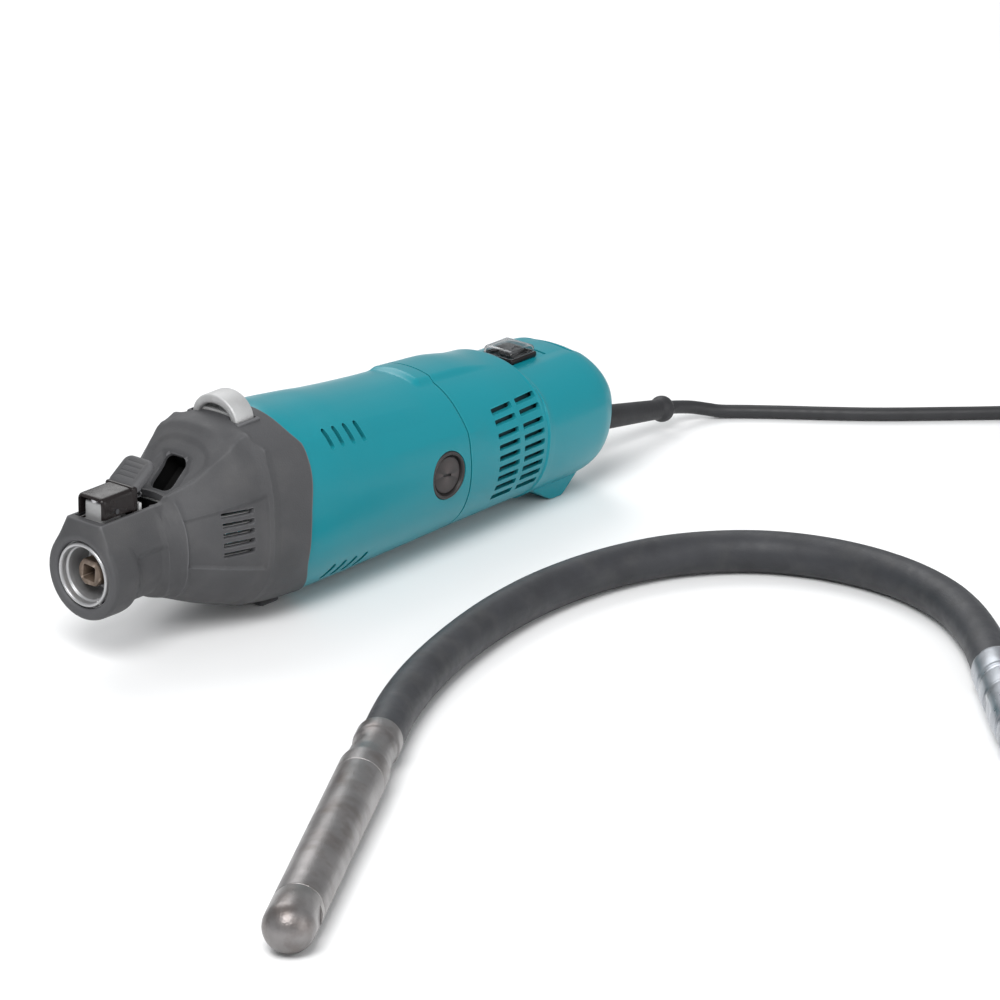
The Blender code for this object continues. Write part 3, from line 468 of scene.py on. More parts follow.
def smooth_path(route, parts=12):
    """Points on a smooth curve through the route's own points."""
    route = [Vector(point) for point in route]
    padded = [route[0] * 2 - route[1]] + route + [route[-1] * 2 - route[-2]]
    points = []
    for index in range(len(route) - 1):
        before, start, end, after = padded[index:index + 4]
        for part in range(parts):
            t = part / parts
            squared = (2 * before - 5 * start + 4 * end - after) * t * t
            cubed = (3 * start - before - 3 * end + after) * t ** 3
            points.append(0.5 * (2 * start + (end - before) * t + squared + cubed))
    points.append(route[-1])
    return points


def path_length(points):
    return sum((after - before).length for before, after in zip(points, points[1:]))


def cord_curve(name, points, radius, coat, body, replaced):
    curve = bpy.data.curves.new(name, "CURVE")
    curve.dimensions = "3D"
    curve.bevel_depth = radius
    curve.bevel_resolution = 8
    curve.use_fill_caps = True
    spline = curve.splines.new("POLY")
    spline.points.add(len(points) - 1)
    for point, place in zip(spline.points, points):
        point.co = (*place, 1.0)
    spline.use_smooth = True
    return new_piece(name, curve, coat, body, replaced)


def around_coil(angle, reach, height):
    return Vector((COIL_CENTRE.x + reach * math.cos(angle), COIL_CENTRE.y + reach * math.sin(angle), height))


def coil_points():
    """The turns of the coil: they wind inwards along the floor, then outwards on top, layer by layer."""
    enter = math.atan2(COIL_ENTRY[1] - COIL_CENTRE.y, COIL_ENTRY[0] - COIL_CENTRE.x)
    leave = math.atan2(COIL_EXIT[1] - COIL_CENTRE.y, COIL_EXIT[0] - COIL_CENTRE.x)
    pitch = 2 * CORD_RADIUS + 0.0002
    outer = COIL_OUTER - CORD_RADIUS
    lanes = [(outer - pitch * lane, 0) for lane in range(3)]
    lanes += [(outer - pitch * lane, 1) for lane in (2, 1, 0)]
    lanes += [(outer - pitch * lane, 2) for lane in (0.5, 1.5)]
    points = []
    steps = 40
    for number, (radius, layer) in enumerate(lanes):
        following = lanes[number + 1] if number + 1 < len(lanes) else (radius, layer)
        for step in range(steps):
            share = step / steps
            change = max(0.0, (share - 0.75) / 0.25)
            change = change * change * (3 - 2 * change)
            reach = radius + (following[0] - radius) * change
            height = COIL_FLOOR + COIL_LIFT * (layer + (following[1] - layer) * change)
            points.append(around_coil(enter - 2 * math.pi * (number + share), reach, height))
    last_radius, last_layer = lanes[-1]
    sweep = (enter - leave) % (2 * math.pi)
    for step in range(1, 16):
        share = step / 16
        settling = share * share * (3 - 2 * share)
        reach = last_radius + (COIL_OUTER + CORD_RADIUS - 0.0010 - last_radius) * settling
        height = COIL_FLOOR + COIL_LIFT * last_layer * (1 - settling)
        points.append(around_coil(enter - sweep * share, reach, height))
    return points


def guard_way():
    """The direction in which the cord leaves the drive unit."""
    return Vector((math.cos(GUARD_DROOP), 0, -math.sin(GUARD_DROOP)))


def build_mains_cord():
    droop = guard_way()
    guard_end = at(*GUARD_START) + droop * GUARD_LENGTH
    leaves = [guard_end + droop * along for along in (0.0008, 0.0068)]
    visible = smooth_path(leaves + [Vector(point) for point in CORD_ROUTE + (COIL_ENTRY,)], 8)
    turns = coil_points()
    tail = smooth_path([turns[-2], turns[-1]] + [Vector(point) for point in TAIL_ROUTE], 8)[9:]
    points = visible[:-1] + turns + tail
    cord = cord_curve("mains_lead", points, CORD_RADIUS, CORD_JACKET, "root",
                      ("mains_cord", "cord_coil", "cord_tail"))
    return cord, points


def build_guard():
    """The cord guard: a tapered sleeve with a stepped base and a ball ring near its end."""
    long = GUARD_LENGTH
    body = [(long, 0.0), (long, 0.0052), (long - 0.0006, 0.0066), (long - 0.0024, 0.0077),
            (long - 0.0045, 0.0080), (long - 0.0066, 0.0077), (long - 0.0084, 0.0066),
            (long - 0.0094, 0.0061), (long - 0.0120, 0.0060), (0.0170, 0.0082),
            (0.0112, 0.0083), (0.0112, 0.0070), (0.0030, 0.0070), (0.0030, 0.0096), (0.0, 0.0096),
            (0.0, 0.0)]
    mesh = turned_mesh(rounded(body, 0.0008, 3), at(*GUARD_START), guard_way(), 64, True)
    return new_piece("guard_sleeve", shade(mesh, 40), BLACK_RUBBER, "root", ("cord_guard",))


def build_tie():
    low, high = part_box("coil_tie")
    outer = box_mesh(low, high)
    band = 0.0011
    inner = box_mesh((low.x + band, low.y - 0.002, low.z + band),
                     (high.x - band, high.y + 0.002, high.z - band))
    mesh = shaped(outer, [inner], bevel=0.0004, segments=2)
    return new_piece("cord_tie", shade(mesh), BLACK_PLASTIC, "root", ("coil_tie",))


def build_plug():
    heading = Vector((math.cos(PLUG_HEADING), math.sin(PLUG_HEADING), 0))
    side = Vector((-heading.y, heading.x, 0))
    rows = np.array(((0.0000, 0.0050, 0.0050), (0.0010, 0.0060, 0.0058), (0.0100, 0.0066, 0.0064),
                     (0.0180, 0.0082, 0.0080), (0.0230, 0.0120, 0.0098), (0.0290, 0.0158, 0.0118),
                     (0.0380, 0.0176, 0.0130), (0.0465, 0.0179, 0.0131), (0.0478, 0.0172, 0.0124)))
    alongs = np.linspace(0.0, 0.0478, 60)
    form = bmesh.new()
    rings = []
    for along, wide, high in zip(alongs, smooth_read(rows[:, 0], rows[:, 1], alongs),
                                 smooth_read(rows[:, 0], rows[:, 2], alongs)):
        groove = 0.0007 * max(0.0, math.sin((along - 0.002) * math.pi / 0.0032)) if along < 0.0170 else 0.0
        ring = []
        for step in range(56):
            angle = 2 * math.pi * step / 56
            place = (PLUG_START + heading * along + side * (wide - groove) * math.cos(angle)
                     + Vector((0, 0, (high - groove) * math.sin(angle))))
            ring.append(form.verts.new(place))
        rings.append(ring)
    form.faces.new(rings[0])
    form.faces.new(rings[-1])
    for first, second in zip(rings, rings[1:]):
        for step in range(56):
            after = (step + 1) % 56
            form.faces.new((first[step], first[after], second[after], second[step]))
    plug = new_piece("plug", shade(from_form("plug", form)), BLACK_RUBBER, "root",
                     ("plug_body",))
    profile = [(0.0237, 0.0), (0.0235, 0.0014), (0.0222, 0.0023), (0.0200, 0.0024), (0.0, 0.0024), (0.0, 0.0)]
    pins = []
    for word, sign in (("left", -1), ("right", 1)):
        base = PLUG_START + heading * 0.0433 + side * sign * 0.0095
        mesh = turned_mesh(rounded(profile, 0.0004, 3), base, heading, 32, True)
        pins.append(new_piece("plug_prong_" + word, shade(mesh), STEEL, "root",
                              ("plug_pin_" + word,)))
    return plug, pins


# Shells

def smooth_read(places, values, wanted):
    """Read a smooth curve through the points, one that never overshoots them."""
    places, values, wanted = np.asarray(places, float), np.asarray(values, float), np.asarray(wanted, float)
    gaps = np.diff(places)
    slopes = np.diff(values) / gaps
    tangents = np.zeros_like(values)
    same_way = slopes[:-1] * slopes[1:] > 0
    first, second = slopes[:-1][same_way], slopes[1:][same_way]
    tangents[1:-1][same_way] = 2 * first * second / (first + second)
    tangents[0], tangents[-1] = slopes[0], slopes[-1]
    index = np.clip(np.searchsorted(places, wanted, side="right") - 1, 0, len(places) - 2)
    t = np.clip((wanted - places[index]) / gaps[index], 0, 1)
    gap = gaps[index]
    return ((1 + 2 * t) * (1 - t) ** 2 * values[index] + t * (1 - t) ** 2 * gap * tangents[index]
            + t * t * (3 - 2 * t) * values[index + 1] - t * t * (1 - t) * gap * tangents[index + 1])


def ease(value, start, end):
    """0 before start, 1 after end, and smooth between them."""
    t = np.clip((value - start) / (end - start), 0.0, 1.0)
    return t * t * (3 - 2 * t)


def line_distance(x, y, line):
    """The distance from each point to a line through several points."""
    best = np.full(np.broadcast(x, y).shape, 1e9)
    for (x0, y0), (x1, y1) in zip(line, line[1:]):
        way_x, way_y = x1 - x0, y1 - y0
        t = np.clip(((x - x0) * way_x + (y - y0) * way_y) / (way_x ** 2 + way_y ** 2), 0.0, 1.0)
        best = np.minimum(best, np.hypot(x - x0 - t * way_x, y - y0 - t * way_y))
    return best


def ridge(x, y, line, width):
    """A roof along the line: 1 on it, 0 at the width."""
    return np.clip(1.0 - line_distance(x, y, line) / width, 0.0, 1.0) ** 1.4


def inside(x, y, outline):
    """How deep each point is inside a convex outline, or below 0 outside it."""
    best = np.full(np.broadcast(x, y).shape, 1e9)
    turn = 0.0
    for (x0, y0), (x1, y1) in zip(outline, outline[1:] + outline[:1]):
        turn += x0 * y1 - x1 * y0
    sign = 1.0 if turn > 0 else -1.0
    for (x0, y0), (x1, y1) in zip(outline, outline[1:] + outline[:1]):
        length = math.hypot(x1 - x0, y1 - y0)
        best = np.minimum(best, sign * ((x1 - x0) * (y - y0) - (y1 - y0) * (x - x0)) / length)
    return best


def skin(rows, places, count, shape, inset=0.0, shift=None):
    """Points of a skin, one row of them for each place.

    The rows hold place, half width, top, bottom, squareness of top and of bottom. The shape function adds
    to the distance from the axis, and the shift function moves the rings along it.
    """
    rows = np.array(rows)
    half, top, bottom, square_top, square_bottom = (smooth_read(rows[:, 0], rows[:, column], places)[:, None]
                                                    for column in range(1, 6))
    angles = np.linspace(0, 2 * math.pi, count, endpoint=False)[None, :]
    side, rise = np.cos(angles), np.sin(angles)
    height = np.where(rise >= 0, top, bottom)
    square = np.where(rise >= 0, square_top, square_bottom)
    radius = (np.abs(side / half) ** square + np.abs(rise / height) ** square) ** (-1 / square)
    place = np.broadcast_to(np.asarray(places)[:, None], radius.shape)
    if shift is not None:
        place = place + shift(place, rise)
    radius = shape(place, radius, side, rise) - inset
    return np.stack([place - UNIT_LENGTH / 2, radius * side, AXIS_HEIGHT + radius * rise], axis=2)


def shrunk(ring, share):
    """A row of points drawn towards its own centre."""
    centre = ring[0].mean(axis=0)
    return centre + (ring - centre) * share


def skin_mesh(grids):
    """Join rows of points into one closed surface, whose last row joins its first."""
    points = np.concatenate(grids, axis=0)
    rows, count = points.shape[:2]
    index = np.arange(rows * count).reshape(rows, count)
    ahead = np.roll(index, -1, axis=1)
    below = np.roll(index, -1, axis=0)
    corner = np.roll(ahead, -1, axis=0)
    quads = np.stack([index, ahead, corner, below], axis=2).reshape(-1, 4)
    mesh = bpy.data.meshes.new("skin")
    mesh.from_pydata(points.reshape(-1, 3).tolist(), [], quads.tolist())
    form = bmesh.new()
    form.from_mesh(mesh)
    return from_form("skin", form)


def round_ring(count, place, radius):
    """One row of points on a circle about the axis."""
    angles = np.linspace(0, 2 * math.pi, count, endpoint=False)
    return np.stack([np.full(count, place - UNIT_LENGTH / 2), radius * np.cos(angles),
                     AXIS_HEIGHT + radius * np.sin(angles)], axis=1)[None]


def side_slot(place, rise, length, height, lean=0.0, depth=0.045, corner=0.0008):
    """Cutters through both flanks."""
    made = []
    for side in (-1, 1):
        matrix = (Matrix.Translation(at(place, side * 0.048, rise)) @ Matrix.Rotation(lean, 4, "Y")
                  @ Matrix.Rotation(math.pi / 2, 4, "X"))
        made.append(prism_mesh(slot_outline(length, height, corner), -depth / 2, depth / 2, matrix))
    return made


def merged(meshes):
    form = bmesh.new()
    for mesh in meshes:
        form.from_mesh(mesh)
    return from_form("merged", form)


BOOT_ROWS = (
    (0.0000, 0.0238, 0.0238, 0.0238, 2.0, 2.0),
    (0.0006, 0.0251, 0.0251, 0.0251, 2.0, 2.0),
    (0.0018, 0.0259, 0.0259, 0.0259, 2.0, 2.0),
    (0.0036, 0.0263, 0.0263, 0.0263, 2.0, 2.0),
    (0.0150, 0.0264, 0.0264, 0.0264, 2.0, 2.0),
    (0.0180, 0.0261, 0.0261, 0.0261, 2.0, 2.0),
    (0.0210, 0.0247, 0.0253, 0.0247, 2.0, 2.0),
    (0.0240, 0.0234, 0.0248, 0.0234, 2.1, 2.0),
    (0.0290, 0.0227, 0.0248, 0.0228, 2.2, 2.0),
    (0.0400, 0.0226, 0.0262, 0.0228, 2.2, 2.0),
    (0.0440, 0.0236, 0.0280, 0.0238, 2.3, 2.1),
    (0.0475, 0.0262, 0.0297, 0.0258, 2.4, 2.1),
    (0.0560, 0.0294, 0.0345, 0.0284, 2.4, 2.1),
    (0.0720, 0.0362, 0.0472, 0.0350, 2.4, 2.2),
    (0.0800, 0.0393, 0.0538, 0.0382, 2.5, 2.2),
    (0.0875, 0.0418, 0.0600, 0.0406, 2.5, 2.3),
    (0.0918, 0.0431, 0.0637, 0.0420, 2.5, 2.3),
    (0.0945, 0.0438, 0.0645, 0.0428, 2.5, 2.3),
    (0.1080, 0.0474, 0.0652, 0.0466, 2.4, 2.3),
    (0.1220, 0.0494, 0.0650, 0.0494, 2.3, 2.3),
    (0.1335, 0.0512, 0.0645, 0.0506, 2.3, 2.2),
)
PANEL = ((0.0538, -0.0040), (0.1010, -0.0145), (0.1030, 0.0290), (0.0552, 0.0222))
HOLLOW = ((0.0540, -0.0200), (0.0545, 0.0115), (0.0620, 0.0165), (0.0700, 0.0200), (0.0780, 0.0222),
          (0.0835, 0.0195), (0.0855, 0.0110), (0.0858, -0.0200))
BASIN = ((0.0560, -0.0200), (0.0565, 0.0105), (0.0640, 0.0145), (0.0720, 0.0150), (0.0785, 0.0115),
         (0.0805, -0.0200))
WELL_SLOPE = math.radians(-38.6)
WELL_CENTRE = (0.0700, 0.0, 0.0402)


RIDGE_FRONT = ((0.0455, 0.0270), (0.0446, 0.0180), (0.0440, 0.0050), (0.0443, -0.0083), (0.0480, -0.0240))
RIDGE_PANEL = ((0.0560, 0.0325), (0.0546, 0.0230), (0.0534, -0.0040), (0.0555, -0.0270))
RIDGE_REAR = ((0.1040, 0.0575), (0.1085, 0.0500), (0.1065, 0.0400), (0.1045, 0.0150), (0.1035, -0.0145),
              (0.1010, -0.0400))
RIDGE_SHOULDER = ((0.1085, 0.0500), (0.1220, 0.0478), (0.1400, 0.0478))
RIDGE_HOLLOW = ((0.0560, 0.0125), (0.0684, 0.0200), (0.0790, 0.0238), (0.0900, 0.0272), (0.1040, 0.0262))


def boot_edge(place, rise):
    """The boot's rear edge waves: it reaches back at the shoulders and further back under the body."""
    table_rise = (-1.0, -0.72, -0.30, 0.20, 0.72, 0.92, 1.0)
    table_move = (0.0160, 0.0060, -0.0035, -0.0020, 0.0040, -0.0015, -0.0030)
    move = smooth_read(table_rise, table_move, rise)
    return move * ease(place, 0.1080, 0.1335)


def boot_shape(place, radius, side, rise):
    """The rubber's own relief: the deck under the latch, creases, the side panels and the thumb hollow."""
    up = np.maximum(rise, 1e-3)
    deck = np.minimum(0.0312 / up, 0.0570 / (up + 2.0 * np.abs(side)))
    share = (1 - ease(place, 0.0430, 0.0580)) * ease(place, -0.0001, 0.0030) * ease(rise, 0.35, 0.50)
    radius = radius + (np.maximum(radius, deck) - radius) * share
    half = radius * np.abs(side)
    height = radius * rise
    flank = ease(half, 0.012, 0.018)
    for line, width, amount in ((RIDGE_FRONT, 0.0036, 0.0014), (RIDGE_PANEL, 0.0034, 0.0014),
                                (RIDGE_REAR, 0.0060, 0.0014), (RIDGE_SHOULDER, 0.0070, 0.0013)):
        radius = radius + amount * flank * ridge(place, height, line, width)
    radius = radius - 0.0014 * ease(inside(place, height, PANEL), -0.0002, 0.0012)
    upper = ease(rise, 0.2, 0.5)
    radius = radius + 0.0015 * upper * ridge(place, half, RIDGE_HOLLOW, 0.0045)
    radius = radius - 0.0014 * upper * ease(inside(place, half, HOLLOW), 0.0, 0.0026)
    return radius - 0.0034 * upper * ease(inside(place, half, BASIN), 0.0, 0.0036)


def well_box(length, width, depth, top, bevel=0.0):
    """A box square to the boot's upper slope, for the well behind the thumb pad and its painted-shade lining.
    """
    box = box_mesh((-length / 2, -width / 2, -depth), (length / 2, width / 2, top))
    box = shaped(box, bevel=bevel, segments=4) if bevel else box
    box.transform(Matrix.Translation(at(*WELL_CENTRE)) @ Matrix.Rotation(WELL_SLOPE, 4, "Y"))
    return box


def build_boot():
    places = np.concatenate([np.linspace(0.0, 0.0040, 10)[:-1], np.linspace(0.0040, 0.1335, 250)])
    count = 320
    outer = skin(BOOT_ROWS, places, count, boot_shape, 0.0, boot_edge)
    inner_places = np.linspace(0.1335, 0.0520, 90)
    inner = skin(BOOT_ROWS, inner_places, count, boot_shape, BOOT_WALL, boot_edge)
    nose = [round_ring(count, place, radius) for place, radius in (
        (0.0480, 0.0213), (0.0036, 0.0213), (0.0036, 0.0192), (0.0020, 0.0193), (0.0006, 0.0200),
        (0.0001, 0.0208), (-0.0002, 0.0222))]
    mesh = skin_mesh([outer, inner] + nose)
    slots = []
    for row in range(5):
        slots += side_slot(0.0850, 0.0215 - 0.0057 * row, 0.0190, 0.0032)
    pocket = block((0.0068, -0.0112, 0.0258), (0.0440, 0.0112, 0.0400), 0.0010)
    rear_pocket = block((0.0395, -0.0098, 0.0225), (0.0560, 0.0098, 0.0500), 0.0010)
    legs = [block((EYE_PLACE - 0.0078, low, 0.0520), (EYE_PLACE + 0.0078, high, 0.0750), 0.0012)
            for low, high in ((-0.0182, -0.0108), (0.0108, 0.0182))]
    foot = block((0.1280, -0.0150, -0.0530), (0.1425, 0.0150, -0.0440), 0.0016)
    cushions = [block((EYE_PLACE - 0.0092, low, 0.0520), (EYE_PLACE + 0.0092, high, 0.0634), 0.0012)
                for low, high in ((-0.0198, -0.0098), (0.0098, 0.0198))]
    well = well_box(0.0225, 0.0164, 0.0140, 0.0120, 0.0050)
    mesh = shaped(mesh, [merged(slots), pocket, rear_pocket, well] + legs, [foot] + cushions)
    new_piece("boot", shade(mesh, 42), RUBBER, "root", ("rubber_boot",))


def build_painted_shade_linings():
    """Painted shade: black linings in the well behind the thumb pad and in the gap behind the latch, standing
    in for the shadow there.
    """
    slope = shaped(well_box(0.0262, 0.0204, 0.0150, -0.0024), [well_box(0.0246, 0.0188, 0.0142, 0.0100)])
    new_piece("well_painted_shade", slope, PAINTED_SHADE_BLACK, "root")
    gap = shaped(block((0.0398, -0.0096, 0.0217), (0.0556, 0.0096, 0.0285)),
                 [block((0.0404, -0.0090, 0.0223), (0.0550, 0.0090, 0.0400))])
    new_piece("gap_painted_shade", gap, PAINTED_SHADE_BLACK, "root")


def build_casting():
    """The aluminium casting under the boot: nose, base of the latch with its lug, and the flare behind."""
    places = np.linspace(0.0530, 0.1300, 110)
    count = 160
    outer = skin(BOOT_ROWS, places, count, boot_shape, BOOT_WALL + 0.0006, boot_edge)
    inner = skin(BOOT_ROWS, places[::-1], count, boot_shape, BOOT_WALL + 0.0030, boot_edge)
    front = [round_ring(count, place, radius) for place, radius in (
        (0.0520, 0.0188), (0.0037, 0.0188), (0.0037, 0.0210), (0.0460, 0.0210))]
    mesh = skin_mesh([outer, inner] + front)
    base = block((0.0075, -0.0104, 0.0150), (0.0392, 0.0104, 0.0260), 0.0008)
    ledge = block((0.0078, -0.0102, 0.0200), (0.0200, 0.0102, 0.0286), 0.0008)
    lug = block((0.0102, -0.0065, 0.0270), (0.0258, 0.0065, 0.0404), 0.0012)
    strip = block((0.0362, -0.0098, 0.0270), (0.0385, 0.0098, 0.0345), 0.0006)
    slots = []
    for row in range(5):
        slots += side_slot(0.0850, 0.0226 - 0.0057 * row, 0.0200, 0.0050)
    pocket = block((0.0395, -0.0102, 0.0212), (0.0562, 0.0102, 0.0500))
    mesh = shaped(mesh, [rod_mesh(at(-0.01), at(0.0525), 0.0188, 64), merged(slots), pocket,
                         well_box(0.0270, 0.0212, 0.0155, 0.0120)], [base, ledge, lug, strip])
    new_piece("front_casting", shade(mesh, 30), CAST, "root", ("front_housing",))


MOTOR_ROWS = (
    (0.1250, 0.0480, 0.0612, 0.0470, 2.2, 2.2),
    (0.1338, 0.0498, 0.0630, 0.0490, 2.2, 2.2),
    (0.1550, 0.0508, 0.0607, 0.0500, 2.2, 2.2),
    (0.1750, 0.0505, 0.0585, 0.0500, 2.1, 2.2),
    (0.2000, 0.0500, 0.0545, 0.0497, 2.1, 2.2),
    (0.2320, 0.0493, 0.0505, 0.0494, 2.1, 2.2),
    (SEAM, 0.0485, 0.0475, 0.0488, 2.1, 2.2),
)
REAR_ROWS = (
    (SEAM, 0.0485, 0.0475, 0.0488, 2.1, 2.2),
    (0.3000, 0.0480, 0.0445, 0.0486, 2.1, 2.2),
    (0.3290, 0.0474, 0.0407, 0.0485, 2.1, 2.2),
    (0.3330, 0.0473, 0.0402, 0.0485, 2.1, 2.2),
    (0.3350, 0.0473, 0.0394, 0.0485, 2.2, 2.2),
    (0.3400, 0.0470, 0.0326, 0.0484, 2.2, 2.2),
    (0.3425, 0.0468, 0.0319, 0.0484, 2.2, 2.2),
    (0.3600, 0.0462, 0.0316, 0.0481, 2.2, 2.25),
    (0.3820, 0.0452, 0.0314, 0.0474, 2.2, 2.3),
    (0.3890, 0.0446, 0.0309, 0.0466, 2.2, 2.3),
    (0.3950, 0.0430, 0.0293, 0.0450, 2.2, 2.3),
    (0.3990, 0.0408, 0.0268, 0.0428, 2.2, 2.3),
    (0.4012, 0.0380, 0.0240, 0.0400, 2.2, 2.3),
    (0.4018, 0.0350, 0.0210, 0.0372, 2.2, 2.3),
)
CREASE_MOTOR = ((0.1850, 0.0250), (0.1946, 0.0242), (0.2348, 0.0221), (SEAM + 0.004, 0.0190))
CREASE_REAR = ((SEAM - 0.004, 0.0190), (0.2900, 0.0183))
CREASE_UPPER = ((0.1400, 0.0470), (0.1987, 0.0438), (0.2280, 0.0405), (SEAM, 0.0385))


def motor_shape(place, radius, side, rise):
    """Relief of the motor housing: two side creases, the raised crescent at the rear and the groove at the
    seam.
    """
    height = radius * rise
    half = radius * np.abs(side)
    flank = ease(half, 0.012, 0.020)
    roof = np.clip(1.0 - line_distance(place, height, CREASE_MOTOR) / 0.0110, 0.0, 1.0)
    radius = radius + 0.0011 * flank * roof * ease(place, 0.1880, 0.2150)
    roof = np.clip(1.0 - line_distance(place, height, CREASE_UPPER) / 0.0080, 0.0, 1.0)
    radius = radius + 0.0009 * flank * roof * (1 - ease(place, 0.2250, 0.2500))
    swell = ease(place, 0.2525, 0.2585) * (1 - ease(half, 0.0150, 0.0205)) * ease(rise, 0.3, 0.6)
    radius = radius + CRESCENT * swell
    groove = ease(place, SEAM - 0.0006, SEAM - 0.0002)
    return radius - 0.0005 * groove


def rear_shape(place, radius, side, rise):
    """Relief of the rear cover: side crease, the stepped rear block and the sunken switch deck."""
    height = radius * rise
    half = radius * np.abs(side)
    flank = ease(half, 0.012, 0.020)
    roof = np.clip(1.0 - line_distance(place, height, CREASE_REAR) / 0.0110, 0.0, 1.0)
    radius = radius + 0.0011 * flank * roof * (1 - ease(place, 0.2720, 0.2900))
    edge = 0.3365 + 0.25 * np.clip(height - 0.0150, 0.0, 0.0120)
    block = ease(place, edge - 0.0005, edge + 0.0005)
    radius = radius + 0.0010 * block * flank
    swell = (1 - ease(place, 0.2900, 0.3250)) * (1 - ease(half, 0.0148, 0.0195)) * ease(rise, 0.3, 0.6)
    radius = radius + CRESCENT * swell
    notch = ease(place, 0.3900, 0.3906) * (1 - ease(place, 0.3925, 0.3931)) * (1 - ease(half, 0.0170, 0.0180))
    radius = radius - 0.0014 * notch * (rise > 0.3)
    groove = 1 - ease(place, SEAM + 0.0002, SEAM + 0.0006)
    return radius - 0.0005 * groove


def build_motor_housing():
    places = np.linspace(0.1270, SEAM, 230)
    count = 300
    outer = skin(MOTOR_ROWS, places, count, motor_shape)
    inner = skin(MOTOR_ROWS, np.linspace(SEAM, 0.1270, 30), count, lambda place, radius, side, rise: radius,
                 SHELL_WALL)
    mesh = skin_mesh([outer, inner])
    slots = []
    for row in range(4):
        for place, rise, lean in ((0.1600 + 0.0091 * row, 0.0440 - 0.0010 * row, 82),
                                  (0.1560 + 0.0093 * row, -0.0330 - 0.0004 * row, 118)):
            slots += side_slot(place, rise, 0.0108, 0.0032, math.radians(lean), corner=0.0015)
    caps = rod_mesh(at(CAP_PLACE, -0.060), at(CAP_PLACE, 0.060), 0.0144, 96)
    mesh = shaped(mesh, [merged(slots), caps])
    new_piece("motor_shell", shade(mesh, 38), TEAL, "root", ("motor_housing",))


def build_rear_cover():
    places = np.concatenate([np.linspace(SEAM + SEAM_GAP, 0.3900, 230)[:-1], np.linspace(0.3900, 0.4018, 40)])
    count = 300
    outer = skin(REAR_ROWS, places, count, rear_shape)
    inner = skin(REAR_ROWS, np.linspace(0.3985, SEAM + SEAM_GAP, 60), count, rear_shape, SHELL_WALL)
    closing = []
    for share, bulge in ((0.97, 0.00018), (0.90, 0.00030), (0.02, 0.00030)):
        closing.append(shrunk(outer[-1:], share))
        closing[-1][..., 0] = UNIT_LENGTH / 2 + bulge
    mesh = skin_mesh([outer] + closing + [shrunk(inner[:1], 0.02), inner])
    slots = []
    for rise in VENT_RISES:
        slots += side_slot(0.3022, rise, 0.0182, 0.0034)
        slots += side_slot(0.3242, rise, 0.0180, 0.0034)
    switch_hole = block((SWITCH_PLACE - 0.0107, -0.0099, 0.0150), (SWITCH_PLACE + 0.0107, 0.0099, 0.0420))
    slit = block((0.3732, -0.0120, 0.0200), (0.3750, -0.0030, 0.0450), 0.0005)
    exit_hole = rod_mesh(at(0.3940, 0, -0.0220), at(0.4100, 0, -0.0236), 0.0085, 64)
    screws = [rod_mesh(at(0.3930, y, rise), at(0.4100, y, rise), 0.0044, 40)
              for y, rise in ((-0.0260, 0.0120), (0.0260, 0.0120), (-0.0260, -0.0280), (0.0260, -0.0280))]
    feet = []
    matrix = Matrix(((1, 0, 0, -UNIT_LENGTH / 2), (0, 0, 1, 0), (0, 1, 0, AXIS_HEIGHT), (0, 0, 0, 1)))
    side_view = ((0.3410, -0.0400), (0.3620, -0.0524), (0.3650, -0.0530), (0.3720, -0.0530),
                 (0.3745, -0.0518), (0.3890, -0.0400), (0.3880, -0.0300), (0.3420, -0.0300))
    for side in (-1, 1):
        low, high = sorted((side * 0.0125, side * 0.0265))
        feet.append(shaped(prism_mesh(side_view, low, high, matrix), bevel=0.0012))
    mesh = shaped(mesh, [merged(slots), switch_hole, slit, exit_hole] + screws, feet)
    new_piece("rear_shell", shade(mesh, 38), TEAL, "root", ("rear_cover",))
    # Painted shade: a dark teal sheet just inside the vents, standing in for the shadow inside them.
    places = np.linspace(0.2900, 0.3360, 12)
    shade_sheet = skin_mesh([skin(REAR_ROWS, places, 96, rear_shape, 0.0052),
                        skin(REAR_ROWS, places[::-1], 96, rear_shape, 0.0062)])
    new_piece("vent_painted_shade", shade(shade_sheet), TEAL_PAINTED_SHADE, "root")


# Socket, caps, latch, eye and switch

def build_socket():
    ring = [(0.0320, 0.0185), (0.0010, 0.0185), (0.0, 0.0178), (0.0, 0.0168), (0.0012, 0.0162),
            (0.0040, 0.0160), (0.0046, 0.0150), (0.0070, 0.0146), (0.0200, 0.0145), (0.0204, 0.0138),
            (0.0204, 0.0100), (0.0320, 0.0100)]
    mesh = turned_mesh(rounded(ring, 0.0005, 3) + [ring[0]], at(0.0005), (1, 0, 0), 128)
    mesh = shaped(mesh, [rod_mesh(at(0.0125, 0, 0.0100), at(0.0125, 0, 0.0250), 0.0021, 32),
                         rod_mesh(at(0.0020, -0.0080, -0.0100), at(0.0020, -0.0120, -0.0150), 0.0014, 24)])
    new_piece("socket_insert", shade(mesh, 30), MACHINED, "root", ("socket_ring",))
    front = 0.0060
    drive = [(0.0250, 0.0), (0.0250, 0.0085), (0.0010, 0.0085), (0.0, 0.0077), (0.0, 0.0)]
    mesh = turned_mesh(rounded(drive, 0.0006, 3), at(front), (1, 0, 0), 64, True)
    square = shaped(box_mesh(at(front - 0.0020, -0.0044, -0.0044), at(0.0250, 0.0044, 0.0044),
                             Matrix.Rotation(0.10, 4, "X")), bevel=0.0013)
    flats = [block((front - 0.0020, -0.012, 0.0070), (front + 0.0060, 0.012, 0.012)),
             block((front - 0.0020, -0.012, -0.012), (front + 0.0060, 0.012, -0.0070))]
    mesh = shaped(mesh, [square] + flats, bevel=0.0003, segments=2)
    new_piece("drive_cup", shade(mesh, 35), BROWN, "rotor", ("drive_socket",))


